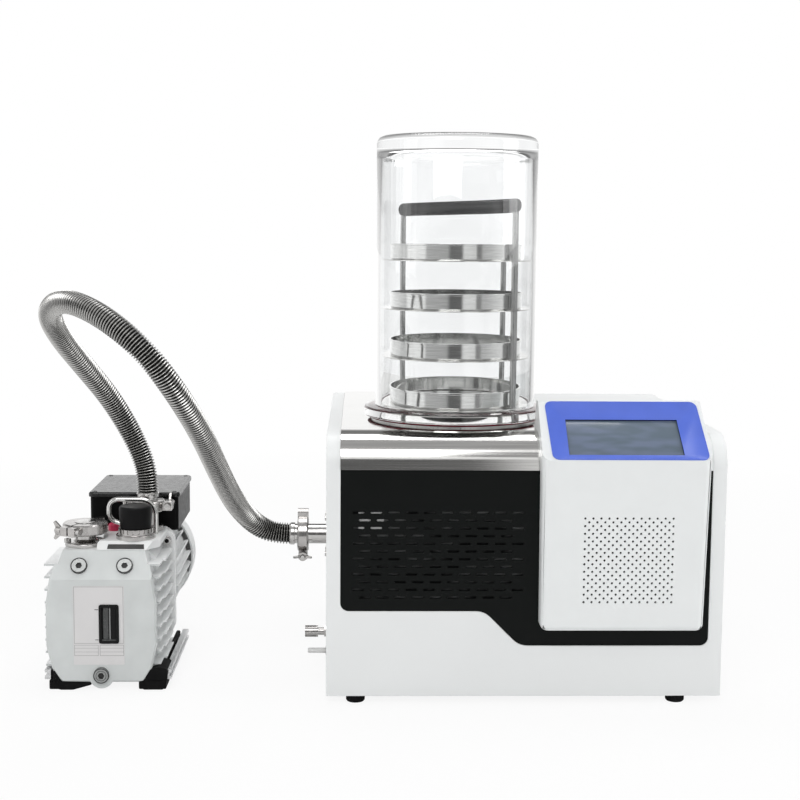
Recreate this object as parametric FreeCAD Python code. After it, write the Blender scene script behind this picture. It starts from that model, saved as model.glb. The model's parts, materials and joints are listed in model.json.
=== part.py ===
import FreeCAD, Part
import math
import os

# Bench-top freeze dryer with a chamber bell and a rotary vane pump on a bellows hose.
# Millimetres. The layout frame has x = 0 at the unit's left side, y = 0 at its front,
# z = 0 on the bench. At export everything moves to the bottom centre of the whole set.

Vector = FreeCAD.Vector
x_axis = Vector(1, 0, 0)
y_axis = Vector(0, 1, 0)
z_axis = Vector(0, 0, 1)

# Main unit
unit_width = 564.0
unit_depth = 534.0
unit_top = 386.0
foot_height = 11.0
foot_radius = 13.5
nose_radius = 45.0
sheet = 2.0
cheek_width = 20.0
cheek_wall = 3.0
flange_width = 8.0
tray_lip = 5.5
steel_edge = 337.0
top_split_x = 300.0
grille_drop = 50.0
grille_low_left = 134.5
grille_corner = 12.0
slot_length = 16.5
slot_height = 3.4
slot_pitch = 25.0
slot_stagger = 9.0
slot_rows = 12
slot_columns = 10
slot_row_pitch = 11.05
first_slot_x = 37.0
first_slot_z = 276.0
inlet_window = (432.0, 480.0)
switch_window = (490.0, 506.0)
rocker_tilt = 9.0

# Control box and display
box_protrusion = 30.0
box_bottom = 113.0
box_knee = 356.0
box_top = 430.0
box_slope_run = 69.0
box_wall = 3.0
screen_recess = 7.0
bezel_outline = [(313.0, 2.0), (531.0, 2.0), (525.0, 99.0), (309.5, 99.0)]
screen_outline = [(338.0, 14.0), (499.0, 14.0), (495.0, 74.0), (337.0, 74.0)]
module_outline = [(330.0, 8.0), (507.0, 8.0), (503.0, 80.0), (330.0, 80.0)]
hole_rows = 23
hole_columns = 12
hole_pitch = 11.2
hole_row_pitch = 5.4
hole_size = 3.3
first_hole_x = 360.0
first_hole_z = 274.5

# Drying chamber, all on one vertical axis
chamber_x = 190.0
chamber_y = 180.0
trap_radius = 104.0
trap_depth = 160.0
seat_radius = 126.0
bell_radius = 120.0
bell_wall = 6.0
bell_flange_radius = 137.0
bell_height = 417.0
shelf_radius = 111.0
shelf_pitch = 72.0
first_shelf = 411.0
pan_radius = 100.0
pan_height = 24.0
pan_wall = 1.2
rod_radius = 4.5
rod_circle = 105.0
rod_angle = 139.0
handle_height = 707.0
handle_half = 111.0

# Cold side
fan_x = 208.0
coil_radius = 4.5
coil_levels = (250, 275, 300, 325)

# Side fittings
port_y = 150.0
port_z = 215.0
port_face = -38.0
pipe_radius = 15.0
valve_z = 64.0
knob_flutes = 12
drain_z = 34.0
drain_radius = 4.0

# Vacuum fittings of the 25 mm clamp system
rim_radius = 20.0
rim_thickness = 4.0
clamp_radius = 27.0
clamp_width = 16.0
bolt_clearance = 4.0

# Pump
pump_x = -326.0
pump_front = 62.0
case_depth = 52.0
case_plate = 14.0
case_bottom = 14.0
case_top = 203.0
case_crease = 163.0
slope_run = 28.0
drain_plug_z = 24.0
sight_x0 = -330.5
sight_x1 = -301.5
sight_z0 = 70.0
sight_z1 = 128.0
oil_plug_x = (-360.0, -294.0)
plug_rise = 18.5
plug_axis = Vector(0, case_crease - case_top, slope_run).normalize()
fin_count = 9
fin_pitch = 18.6
first_fin = 32.0
fin_thickness = 3.0
core_half = 72.0
fin_tip = 86.0
deck = 214.0
deck_left = -337.0
deck_right = -248.0
deck_front = 88.0
exhaust_x = -359.5
exhaust_y = 125.0
exhaust_face = 229.0
exhaust_ring = 30.0
exhaust_clamp_radius = 33.0
exhaust_clamp_turn = -27.0
inlet_x = -275.0
inlet_y = 182.0
inlet_face = 252.0
ballast_x = -285.0
ballast_y = 124.0
bow_y = 152.0
seat_notches = 20
motor_x = -318.0
motor_z = 127.0
motor_radius = 84.0
motor_start = 215.0
motor_end = 385.0
cover_end = 432.0
terminal_x = (-369.0, -233.5)
terminal_y = (215.0, 374.0)
terminal_low = 206.0
terminal_high = 258.0
base_x = -320.0
rail_reach = 87.5
rail_front = 70.0
rail_back = 288.0

# Bellows hose, from the unit's port to the pump's inlet
hose_radius = 16.0
hose_route = [
    (-52, 150, 215),
    (-78, 150, 215),
    (-104, 145, 226),
    (-125, 129, 249),
    (-141, 92, 282),
    (-154, 30, 332),
    (-170, -32, 392),
    (-196, -80, 452),
    (-238, -99, 514),
    (-298, -77, 558),
    (-356, -28, 575),
    (-390, 32, 553),
    (-384, 84, 515),
    (-358, 130, 468),
    (-328, 164, 420),
    (-302, 181, 370),
    (-282, 184, 325),
    (-275, 182, 292),
    (-275, 182, 266),
]

parts = {}


def box(x0, x1, y0, y1, z0, z1):
    return Part.makeBox(x1 - x0, y1 - y0, z1 - z0, Vector(x0, y0, z0))


def rod(start, direction, radius, length):
    return Part.makeCylinder(radius, length, Vector(*start), direction)


def tube(start, direction, outer, inner, length):
    return rod(start, direction, outer, length).cut(rod(start, direction, inner, length))


def prism(points, sweep):
    corners = [Vector(*p) for p in points]
    return Part.Face(Part.makePolygon(corners + corners[:1])).extrude(sweep)


def turned(profile, base, axis=z_axis, angle=360):
    """A solid turned from (radius, height) pairs about an axis through base."""
    wire = Part.makePolygon([Vector(r, 0, h) for r, h in profile + profile[:1]])
    solid = Part.Face(wire).revolve(Vector(0, 0, 0), z_axis, angle)
    solid.Placement = FreeCAD.Placement(Vector(*base), FreeCAD.Rotation(z_axis, axis))
    return Part.makeSolid(Part.Shell(solid.Faces)) if solid.ShapeType != "Solid" else solid


def group(*solids):
    return Part.makeCompound(list(solids))


def along(edge, axis):
    ends = [v.Point for v in edge.Vertexes]
    if len(ends) < 2:
        return False
    return (ends[1] - ends[0]).normalize().cross(axis).Length < 0.02


def hexagon(centre, axis, across_flats, depth):
    """A six-sided bar, used as a socket or a head."""
    radius = across_flats / math.sqrt(3)
    turns = [math.radians(60 * i) for i in range(6)]
    wire = Part.makePolygon([Vector(radius * math.cos(a), radius * math.sin(a), 0)
                             for a in turns + turns[:1]])
    bar = Part.Face(wire).extrude(Vector(0, 0, depth))
    bar.Placement = FreeCAD.Placement(Vector(*centre), FreeCAD.Rotation(z_axis, axis))
    return bar


def bent_path(points):
    """Straight runs joined by tangent arcs as large as the runs allow, with the radii."""
    corners = [Vector(*p) for p in points]
    edges = []
    radii = []
    last = corners[0]
    for before, corner, after in zip(corners, corners[1:], corners[2:]):
        back = (before - corner)
        ahead = (after - corner)
        reach = 0.45 * min(back.Length, ahead.Length)
        back.normalize()
        ahead.normalize()
        half_turn = (math.pi - back.getAngle(ahead)) / 2
        start = corner + back * reach
        end = corner + ahead * reach
        radius = reach / math.tan(half_turn)
        bisector = (back + ahead).normalize()
        middle = corner + bisector * (radius / math.cos(half_turn) - radius)
        edges.append(Part.LineSegment(last, start).toShape())
        edges.append(Part.Arc(start, middle, end).toShape())
        radii.append(radius)
        last = end
    edges.append(Part.LineSegment(last, corners[-1]).toShape())
    return Part.Wire(edges), radii


def bent_rod(points, radius):
    """A round bar along the bent path, of cylinders and ring segments."""
    path, radii = bent_path(points)
    pieces = []
    for edge in path.Edges:
        start = edge.valueAt(edge.FirstParameter)
        heading = edge.tangentAt(edge.FirstParameter)
        disc = Part.Face(Part.Wire(Part.makeCircle(radius, start, heading)))
        if edge.Curve.TypeId == "Part::GeomLine":
            pieces.append(disc.extrude(heading * edge.Length))
        else:
            turn = math.degrees(edge.Length / edge.Curve.Radius)
            pieces.append(disc.revolve(edge.Curve.Center, edge.Curve.Axis, turn))
    return pieces[0].fuse(pieces[1:]).removeSplitter(), path, radii


# ---- Main unit: cabinet ----

def side_profile(inset):
    """The unit's side outline in the y-z plane, moved inwards by inset."""
    front = inset
    back = unit_depth - inset
    low = foot_height + inset
    high = unit_top - inset
    bend = nose_radius
    middle = bend - (bend - inset) * math.cos(math.radians(45))
    lift = unit_top - middle
    edges = [
        Part.LineSegment(Vector(0, front, low), Vector(0, front, unit_top - bend)).toShape(),
        Part.Arc(Vector(0, front, unit_top - bend), Vector(0, middle, lift),
                 Vector(0, bend, high)).toShape(),
        Part.LineSegment(Vector(0, bend, high), Vector(0, back, high)).toShape(),
        Part.LineSegment(Vector(0, back, high), Vector(0, back, low)).toShape(),
        Part.LineSegment(Vector(0, back, low), Vector(0, front, low)).toShape(),
    ]
    return Part.Face(Part.Wire(edges))


def side_slab(inset, x0, x1):
    slab = side_profile(inset).extrude(Vector(x1 - x0, 0, 0))
    slab.translate(Vector(x0, 0, 0))
    return slab


def side_ring(inset_out, inset_in, x0, x1):
    return side_slab(inset_out, x0, x1).cut(side_slab(inset_in, x0, x1))


def grille_outline(gap, y, thickness, top):
    """The black panel's outline, stepped by two arcs and a slope, as a slab."""
    left = cheek_width + gap
    right = unit_width - cheek_width - gap
    high = grille_low_left + gap
    low = high - grille_drop
    bend = 29.0 - gap
    slope_x = 224.0 + gap * 0.41
    reach = bend * math.tan(math.radians(22.5))
    slant = reach * math.sqrt(0.5)
    sag = bend * (1 - math.cos(math.radians(22.5)))
    shift = bend * math.sin(math.radians(22.5))
    round_in = grille_corner
    cut = round_in * (1 - math.sqrt(0.5))

    def at(x, z):
        return Vector(x, y, z)

    def line(a, b):
        return Part.LineSegment(a, b).toShape()

    def arc(a, b, c):
        return Part.Arc(a, b, c).toShape()

    foot_x = slope_x + grille_drop
    edges = [
        line(at(left, top), at(left, high + round_in)),
        arc(at(left, high + round_in), at(left + cut, high + cut), at(left + round_in, high)),
        line(at(left + round_in, high), at(slope_x - reach, high)),
        arc(at(slope_x - reach, high), at(slope_x - reach + shift, high - sag),
            at(slope_x + slant, high - slant)),
        line(at(slope_x + slant, high - slant), at(foot_x - slant, low + slant)),
        arc(at(foot_x - slant, low + slant), at(foot_x + reach - shift, low + sag),
            at(foot_x + reach, low)),
        line(at(foot_x + reach, low), at(right - round_in, low)),
        arc(at(right - round_in, low), at(right - cut, low + cut), at(right, low + round_in)),
        line(at(right, low + round_in), at(right, top)),
        line(at(right, top), at(left, top)),
    ]
    return Part.Face(Part.Wire(edges)).extrude(Vector(0, thickness, 0))


def make_cabinet_frame():
    right = unit_width - cheek_width
    frame = side_ring(0, cheek_wall, 0, cheek_width)
    frame = frame.fuse(side_ring(0, cheek_wall, right, unit_width))
    frame = frame.fuse(side_ring(0, flange_width, 0, sheet))
    frame = frame.fuse(side_ring(0, flange_width, unit_width - sheet, unit_width))
    wall = box(cheek_width, right, 0, cheek_wall, foot_height, steel_edge)
    opening = grille_outline(0, -1, cheek_wall + 2, steel_edge + 1)
    frame = frame.fuse(wall.cut(opening))
    sill = box(cheek_width, right, cheek_wall, 25, foot_height, foot_height + cheek_wall)
    frame = frame.fuse(sill)
    parts["cabinet_frame"] = frame.removeSplitter()


def vent_slots(x0, x1, y0, count, pitch, length, z0):
    slots = [box(x0, x1, y0 + i * pitch, y0 + i * pitch + 6, z0, z0 + length)
             for i in range(count)]
    return slots


def make_side_panels():
    inset = cheek_wall
    left = side_slab(inset, sheet, 2 * sheet)
    left = left.cut(rod((0, port_y, port_z), x_axis, pipe_radius + 1, 10))
    left = left.cut(rod((0, port_y, valve_z), x_axis, 6, 10))
    left = left.cut(rod((0, port_y, drain_z), x_axis, drain_radius - 0.4, 10))
    right = side_slab(inset, unit_width - 2 * sheet, unit_width - sheet)
    slots = vent_slots(unit_width - 10, unit_width + 1, 330, 10, 14, 110, 90)
    parts["left_side_panel"] = left.cut(vent_slots(-1, 10, 330, 10, 14, 110, 90))
    parts["right_side_panel"] = right.cut(slots)


def make_rear_and_base():
    inset = cheek_wall
    x0 = 2 * sheet
    x1 = unit_width - 2 * sheet
    back = unit_depth - inset
    rear = box(x0, x1, back - sheet, back, foot_height + inset, unit_top - inset)
    slots = [box(fan_x - 105, fan_x + 105, back - 10, back + 1, z, z + 8)
             for z in range(90, 235, 18)]
    rear = rear.cut(slots)
    rear = rear.cut(box(*inlet_window, back - 10, back + 1, 60, 88))
    rear = rear.cut(box(*switch_window, back - 10, back + 1, 62, 86))
    parts["rear_panel"] = rear
    low = foot_height + inset
    tray = box(x0, x1, 25, back - sheet, low, low + sheet)
    lip = box(x0, x1, 25, 25 + sheet, low, low + tray_lip)
    rear_lip = box(x0, x1, back - 2 * sheet, back - sheet, low, low + tray_lip)
    parts["base_tray"] = tray.fuse([lip, rear_lip]).removeSplitter()


def make_power_inlet():
    back = unit_depth - cheek_wall
    plate = box(inlet_window[0] - 4, inlet_window[1] + 6, back, back + 3, 56, 92)
    body = box(*inlet_window, back - 22, back, 60, 88)
    socket = box(inlet_window[0] + 10, inlet_window[1] - 10, back - 16, back + 3, 65, 83)
    pins = [box(x - 1, x + 1, back - 16, back - 2, 72, 76) for x in (448, 456, 464)]
    frame = box(switch_window[0] - 6, switch_window[1] + 3, back, back + 3, 56, 92)
    frame = frame.fuse(box(*switch_window, back - 14, back, 62, 86))
    room = box(switch_window[0] + 2, switch_window[1] - 2, back - 10, back + 3, 64, 84)
    inlet = plate.fuse([body, frame]).cut(socket).cut(room).fuse(pins)
    parts["power_inlet"] = inlet.removeSplitter()
    rocker = prism([(0, back - 2, 66), (0, back + 2.6, 66), (0, back + 1, 74),
                    (0, back + 2.6, 82), (0, back - 2, 82), (0, back - 6, 74)],
                   Vector(11, 0, 0))
    rocker.rotate(Vector(0, back - 3, 74), x_axis, rocker_tilt)
    rocker.translate(Vector(switch_window[0] + 2.5, 0, 0))
    parts["power_switch"] = rocker


def make_front_grille_panel():
    panel = grille_outline(0.4, 1, 2, steel_edge - 0.4)
    back_plate = grille_outline(-8, cheek_wall, 1.5, steel_edge + 3)
    panel = panel.fuse(back_plate)
    panel = panel.cut(grille_slots())
    parts["front_grille_panel"] = panel.removeSplitter()


def grille_slots():
    """Staggered rows of ventilation slots; the last ones run in behind the control box."""
    slots = []
    for row in range(slot_rows):
        z = first_slot_z - row * slot_row_pitch
        shift = slot_stagger if row % 2 else 0
        for i in range(slot_columns - row % 2):
            x = first_slot_x + shift + i * slot_pitch
            slots.append(box(x, x + slot_length, 0, 10, z - slot_height / 2, z + slot_height / 2))
    return slots


def make_top():
    slab = side_slab(0, cheek_width, top_split_x).cut(side_slab(sheet, 0, unit_width))
    keep = box(0, unit_width, -1, unit_depth, steel_edge, unit_top + 1)
    mouth = rod((chamber_x, chamber_y, unit_top - 10), z_axis, trap_radius + 9, 20)
    parts["steel_top_plate"] = slab.common(keep).cut(mouth)
    right = unit_width - cheek_width
    cover = side_slab(0, top_split_x, right).cut(side_slab(sheet, 0, unit_width))
    parts["top_cover"] = cover.common(keep)


# ---- Control box ----

def slope_point(x, rise, lift=0.0):
    """A point on the control box's slope, rise up along it and lift out of it."""
    run = box_slope_run
    climb = box_top - box_knee
    length = math.hypot(run, climb)
    y = -box_protrusion + (rise * run - lift * climb) / length
    z = box_knee + (rise * climb + lift * run) / length
    return Vector(x, y, z)


def box_solid(inset):
    front = [(301 + inset, 0, box_bottom + inset), (530.5 - inset, 0, box_bottom + inset),
             (536.5 - inset, 0, box_knee), (530.5 - inset, 0, box_top),
             (299.5 + inset, 0, box_top), (299.5 + inset, 0, box_knee)]
    front_on = prism([(x, -100, z) for x, y, z in front], Vector(0, 300, 0))
    y0 = -box_protrusion + inset
    knee = box_knee - inset * 0.4
    crest = -box_protrusion + box_slope_run + inset * 0.4
    side = [(0, 60, box_bottom + inset), (0, y0, box_bottom + inset), (0, y0, knee),
            (0, crest, box_top - inset), (0, 58 - inset, box_top - inset),
            (0, 76 - inset, unit_top), (0, 76 - inset, unit_top - 60), (0, 60, unit_top - 60)]
    side_on = prism([(250, y, z) for _, y, z in side], Vector(350, 0, 0))
    return front_on.common(side_on)


def make_control_box():
    body = box_solid(0)
    corners = [e for e in body.Edges
               if along(e, Vector(0, 0, 1)) or along(e, Vector(6, 0, box_knee - box_bottom))]
    front = [e for e in corners if e.BoundBox.YMax < -box_protrusion + 1]
    body = body.makeFillet(12, front)
    low = [e for e in body.Edges if along(e, y_axis) and e.BoundBox.ZMax < box_bottom + 1]
    body = body.makeFillet(9, low)
    body = body.cut(box_solid(box_wall))
    body = body.cut(side_slab(0, 250, unit_width))
    pocket = Part.Face(Part.makePolygon(bezel_corners(0.3, -box_wall * 2))).extrude(
        slope_point(0, 0, 20) - slope_point(0, 0, 0))
    body = body.cut(pocket)
    body = body.cut(perforation())
    parts["control_box"] = body.removeSplitter()


def perforation():
    """The loudspeaker-like field of small vent holes, in staggered rows."""
    holes = []
    for row in range(hole_rows):
        z = first_hole_z - row * hole_row_pitch
        odd = row % 2
        for i in range(hole_columns - odd):
            x = first_hole_x + (i + odd / 2) * hole_pitch
            half = hole_size / math.sqrt(2)
            diamond = [(x - half, -box_protrusion - 1, z), (x, -box_protrusion - 1, z - half),
                       (x + half, -box_protrusion - 1, z), (x, -box_protrusion - 1, z + half)]
            holes.append(prism(diamond, Vector(0, box_wall + 2, 0)))
    return holes


def bezel_corners(grow, lift):
    middle_x = 420
    corners = []
    for x, rise in bezel_outline:
        side = grow if x > middle_x else -grow
        up = grow if rise > 50 else -grow
        corners.append(slope_point(x + side, rise + up, lift))
    return corners + corners[:1]


def make_display():
    raised = 1.5
    outer_top = Part.makePolygon(bezel_corners(0, raised))
    inner = [slope_point(x, rise, -screen_recess + 3) for x, rise in screen_outline]
    inner_top = Part.makePolygon(inner + inner[:1])
    facing = slope_point(0, 0, 1) - slope_point(0, 0, 0)
    block = Part.Face(Part.makePolygon(bezel_corners(0, -screen_recess - 2))).extrude(
        facing * (screen_recess + 2 + raised))
    funnel = Part.makeLoft([outer_top, inner_top], True)
    window = Part.Face(inner_top).extrude(facing * -20)
    lip = Part.Face(Part.makePolygon(bezel_corners(2, 0))).extrude(facing * raised)
    bezel = block.fuse(lip).cut(funnel).cut(window)
    parts["bezel"] = bezel.removeSplitter()
    glass = [slope_point(x, rise, -screen_recess - 2) for x, rise in screen_outline]
    screen = Part.Face(Part.makePolygon(glass + glass[:1])).extrude(facing * 2)
    backing = [slope_point(x, rise, -screen_recess - 8) for x, rise in module_outline]
    module = Part.Face(Part.makePolygon(backing + backing[:1])).extrude(facing * 6)
    parts["touch_screen"] = screen.fuse(module).removeSplitter()


def make_unit_feet():
    spots = [(42, 16), (502, 16), (42, unit_depth - 24), (502, unit_depth - 24)]
    feet = []
    for x, y in spots:
        feet.append(turned([(0, 0), (foot_radius - 1.5, 0), (foot_radius, 2),
                            (foot_radius, foot_height), (0, foot_height)], (x, y, 0)))
    parts["unit_feet"] = group(*feet)


# ---- Cold side ----

def make_chamber():
    centre = (chamber_x, chamber_y, 0)
    top = unit_top
    trap_floor = top - trap_depth
    parts["cold_trap"] = turned([
        (0, trap_floor), (trap_radius, trap_floor), (trap_radius, top), (seat_radius - 2, top),
        (seat_radius, top + 1.5), (seat_radius, top + 5), (trap_radius + 8, top + 5),
        (trap_radius + 8, top + 3.5), (trap_radius - 1.5, top + 3.5),
        (trap_radius - 1.5, trap_floor + 1.5), (0, trap_floor + 1.5)], centre)
    seal_z = top + 5
    parts["chamber_seal"] = turned([(seat_radius - 9, seal_z), (seat_radius + 4, seal_z),
                                    (seat_radius + 6, seal_z + 1.5), (seat_radius + 4, seal_z + 3),
                                    (seat_radius - 9, seal_z + 3)], centre)
    base = top + 8
    dome = base + bell_height - 13
    outer = bell_radius
    inner = bell_radius - bell_wall
    parts["bell_chamber"] = turned([
        (inner, base), (bell_flange_radius - 2, base), (bell_flange_radius, base + 2),
        (bell_flange_radius, base + 12), (bell_flange_radius - 2, base + 14),
        (outer + 2, base + 15), (outer, base + 18), (outer, dome), (outer - 3, dome + 6),
        (outer - 9, dome + 10), (0, dome + 13), (0, dome - 12), (inner - 8, dome - 12),
        (inner, dome - 20)], centre)
    flat = coil_radius * math.tan(math.radians(22.5))
    section = [(-coil_radius, -flat), (-flat, -coil_radius), (flat, -coil_radius),
               (coil_radius, -flat), (coil_radius, flat), (flat, coil_radius),
               (-flat, coil_radius), (-coil_radius, flat)]
    ring = [(trap_radius + coil_radius + out, up) for out, up in section]
    parts["evaporator_coil"] = group(*[turned(ring, (chamber_x, chamber_y, z))
                                       for z in coil_levels])


def make_rack():
    centre = (chamber_x, chamber_y, 0)
    base = unit_top + 3.5
    parts["rack_base"] = turned([(66, base), (shelf_radius, base), (shelf_radius, base + 5),
                                 (104, base + 5), (66, base + 2)], centre)
    angles = (rod_angle, rod_angle - 180, 180 - rod_angle)
    tops = (handle_height, handle_height, first_shelf + 3 * shelf_pitch + 4)
    rods = []
    holes = []
    for angle, high in zip(angles, tops):
        x = chamber_x + rod_circle * math.cos(math.radians(angle))
        y = chamber_y + rod_circle * math.sin(math.radians(angle))
        rods.append(rod((x, y, base + 5), z_axis, rod_radius, high - base - 5))
        holes.append(rod((x, y, base), z_axis, rod_radius, 500))
    bar = rod((-handle_half, 0, 0), x_axis, 10.5, 2 * handle_half)
    bar.rotate(Vector(0, 0, 0), z_axis, rod_angle)
    bar.translate(Vector(chamber_x, chamber_y, handle_height))
    parts["rack_handle"] = bar.cut(rods[:2])
    parts["rack_rods"] = group(*rods)
    shelves = []
    for level in range(4):
        low = first_shelf - 1.5 + level * shelf_pitch
        shelf = turned([(0, low), (shelf_radius, low), (shelf_radius, low + 1.5),
                        (0, low + 1.5)], centre)
        shelves.append(shelf.cut(holes))
        floor = low + 1.5
        rim = floor + pan_height
        parts["pan_%d" % (level + 1)] = turned([
            (0, floor), (pan_radius - 3, floor), (pan_radius - 1.5, floor + 2),
            (pan_radius - 1.5, rim - 2.6), (pan_radius, rim - 2.6), (pan_radius, rim),
            (pan_radius - 1.5 - pan_wall, rim), (pan_radius - 1.5 - pan_wall, floor + 2.4),
            (pan_radius - 3.6, floor + pan_wall), (0, floor + pan_wall)], centre)
    parts["rack_shelves"] = group(*shelves)


def make_refrigeration():
    floor = foot_height + cheek_wall + sheet
    shell = turned([(0, 18), (58, 18), (70, 34), (72, 60), (72, 118), (66, 142), (44, 156),
                    (0, 160)], (410, 170, floor))
    shell = shell.fuse(box(345, 475, 105, 235, floor + 8, floor + 14))
    shell = shell.fuse([rod((x, y, floor), z_axis, 9, 9)
                        for x in (355, 465) for y in (115, 225)])
    parts["compressor"] = shell.removeSplitter()
    block = box(fan_x - 115, fan_x + 115, 480, 512, floor, floor + 210)
    grooves = [box(fan_x - 105, fan_x + 105, 479, 484, floor + z, floor + z + 9)
               for z in range(12, 200, 16)]
    parts["condenser"] = block.cut(grooves)
    hub_z = floor + 105
    bracket = box(fan_x - 105, fan_x + 105, 474, 479, floor, floor + 205)
    bracket = bracket.cut(rod((fan_x, 470, hub_z), y_axis, 92, 20))
    arm = box(fan_x - 95, fan_x + 95, 474, 479, hub_z - 6, hub_z + 6)
    can = rod((fan_x, 455, hub_z), y_axis, 24, 24)
    strip = box(fan_x - 105, fan_x + 105, 479, 480, floor, floor + 6)
    bracket = bracket.fuse([arm, can, strip])
    parts["fan_motor"] = bracket.removeSplitter()
    blades = [rod((0, 432, 0), y_axis, 20, 16)]
    for i in range(5):
        blade = box(17, 82, 438, 441, -22, 22)
        blade.rotate(Vector(0, 439, 0), x_axis, 32)
        blade.rotate(Vector(0, 0, 0), y_axis, 72 * i)
        blades.append(blade)
    wheel = blades[0].fuse(blades[1:])
    wheel = wheel.fuse(rod((0, 448, 0), y_axis, 4, 6.7))
    wheel.translate(Vector(fan_x, 0, hub_z))
    parts["condenser_fan"] = wheel.removeSplitter()


# ---- Vacuum fittings ----

def placed(shape, centre, bolt_side, nut_side):
    """Moves a clamp piece, built about z with its bolt at -y and its nut at +x."""
    lay = FreeCAD.Rotation(nut_side, bolt_side * -1, bolt_side.cross(nut_side), "XYZ")
    moved = shape.copy()
    moved.Placement = FreeCAD.Placement(Vector(*centre), lay)
    return moved


def clamp_halves(radius):
    """Two half rings, grooved inside for the flange rims, hinged at +y and bolted at -y."""
    half_width = clamp_width / 2
    bolt_y = -radius - bolt_clearance
    ring = turned([(15.5, -half_width), (radius - 2, -half_width),
                   (radius, -half_width + 2), (radius, half_width - 2),
                   (radius - 2, half_width), (15.5, half_width), (15.5, 4.3),
                   (rim_radius + 0.3, 1.9), (rim_radius + 0.3, -1.9), (15.5, -4.3)], (0, 0, 0))
    knuckle = rod((0, radius + 6, -half_width), z_axis, 5.5, clamp_width)
    strap = box(-5, 5, radius - 2, radius + 6, -half_width, half_width)
    lugs = box(-13, 13, bolt_y - 6, -radius + 4, -6.5, 6.5)
    whole = ring.fuse([knuckle, strap, lugs]).removeSplitter()
    gap = box(-1.2, 1.2, -60, 60, -30, 30).fuse(rod((-30, bolt_y, 0), x_axis, 3.4, 60))
    whole = whole.cut(gap)
    return whole.Solids


def clamp_bolt(bolt_y):
    bolt = rod((-14, bolt_y, 0), x_axis, 3, 40)
    head = rod((-19, bolt_y, 0), x_axis, 5, 6)
    return bolt.fuse(head).removeSplitter()


def wing_nut(bolt_y):
    x0 = 13.4
    hub = rod((x0, bolt_y, 0), x_axis, 6.5, 9)
    half = [(x0 + 1, 5), (x0 + 12, 14), (x0 + 15, 12), (x0 + 9, 0)]
    outline = half + [(x, -z) for x, z in reversed(half[:3])]
    wing = prism([(x, bolt_y - 1.5, z) for x, z in outline], Vector(0, 3, 0))
    bore = rod((x0 - 1, bolt_y, 0), x_axis, 3.35, 30)
    return hub.fuse(wing).cut(bore).removeSplitter()


def level_direction(degrees):
    angle = math.radians(degrees)
    return Vector(math.cos(angle), math.sin(angle), 0)


clamp_places = {
    "port": ((port_face, port_y, port_z), Vector(0, 0, -1), Vector(0, -1, 0), clamp_radius),
    "inlet": ((inlet_x, inlet_y, inlet_face), x_axis, y_axis, clamp_radius),
    "exhaust": ((exhaust_x, exhaust_y, exhaust_face), level_direction(exhaust_clamp_turn - 90),
                level_direction(exhaust_clamp_turn - 180), exhaust_clamp_radius),
}


def make_clamps():
    halves = []
    bolts = []
    for name, (centre, bolt_side, nut_side, radius) in clamp_places.items():
        bolt_y = -radius - bolt_clearance
        halves += [placed(half, centre, bolt_side, nut_side) for half in clamp_halves(radius)]
        bolts.append(placed(clamp_bolt(bolt_y), centre, bolt_side, nut_side))
        parts[name + "_wing_nut"] = placed(wing_nut(bolt_y), centre, bolt_side, nut_side)
    parts["vacuum_clamps"] = group(*halves)
    parts["clamp_bolts"] = group(*bolts)


def rim_profile(bore, length):
    """A pipe end with a coned clamp rim whose face is at height 0, running back."""
    return [(bore, 0), (rim_radius, 0), (rim_radius, -1.5), (15, -rim_thickness),
            (15, -length), (bore, -length)]


def make_port():
    pipe = turned(rim_profile(11, 46), (port_face, port_y, port_z), Vector(-1, 0, 0))
    plate = box(-2, sheet, port_y - 24, port_y + 24, port_z - 34, port_z + 34)
    plate = plate.cut(rod((-10, port_y, port_z), x_axis, 11, 30))
    parts["port_flange"] = pipe.fuse(plate).removeSplitter()
    heads = []
    for dy in (-17, 17):
        for dz in (-27, 27):
            heads.append(rod((-5, port_y + dy, port_z + dz), x_axis, 4, 3))
    parts["flange_screws"] = group(*heads)


def make_valve_and_drain():
    body = rod((-15, port_y, valve_z), x_axis, 5.8, 15 + sheet)
    nut = hexagon((-6, port_y, valve_z), x_axis, 15, 8)
    body = body.fuse(nut).cut(rod((-20, port_y, valve_z), x_axis, 2.2, 60))
    parts["vent_valve_body"] = body.removeSplitter()
    knob = rod((-35, port_y, valve_z), x_axis, 8.7, 19.5)
    flutes = []
    for i in range(knob_flutes):
        flute = box(-36, -18, port_y - 1, port_y + 1, valve_z + 8, valve_z + 10)
        flute.rotate(Vector(0, port_y, valve_z), x_axis, 360 * i / knob_flutes)
        flutes.append(flute)
    parts["vent_valve_knob"] = knob.cut(flutes)
    spigot = turned([(2.4, -31), (drain_radius - 0.8, -31), (drain_radius, -29),
                     (drain_radius, -sheet), (drain_radius - 0.4, -sheet),
                     (drain_radius - 0.4, 3), (2.4, 3)], (0, port_y, drain_z), x_axis)
    washer = tube((-sheet, port_y, drain_z), x_axis, 9.5, drain_radius - 0.4, 2 * sheet)
    parts["drain_nipple"] = group(spigot, washer)


# ---- Pump ----

def case_outline(half, y, depth):
    """A symmetric upright slab from (half width, height) pairs, its side edges rounded."""
    right = [(pump_x + x, y, z) for x, z in half]
    left = [(pump_x - x, y, z) for x, z in reversed(half)]
    slab = prism(right + left, Vector(0, depth, 0))
    sides = [e for e in slab.Edges if along(e, y_axis) and e.BoundBox.ZMax < case_top - 1]
    return slab.makeFillet(9, sides)


def side_fins(y0, y1):
    fins = []
    for i in range(fin_count):
        z = first_fin + i * fin_pitch
        fins.append(box(pump_x - fin_tip, pump_x + fin_tip, y0, y1, z, z + fin_thickness))
    return fins


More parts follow.
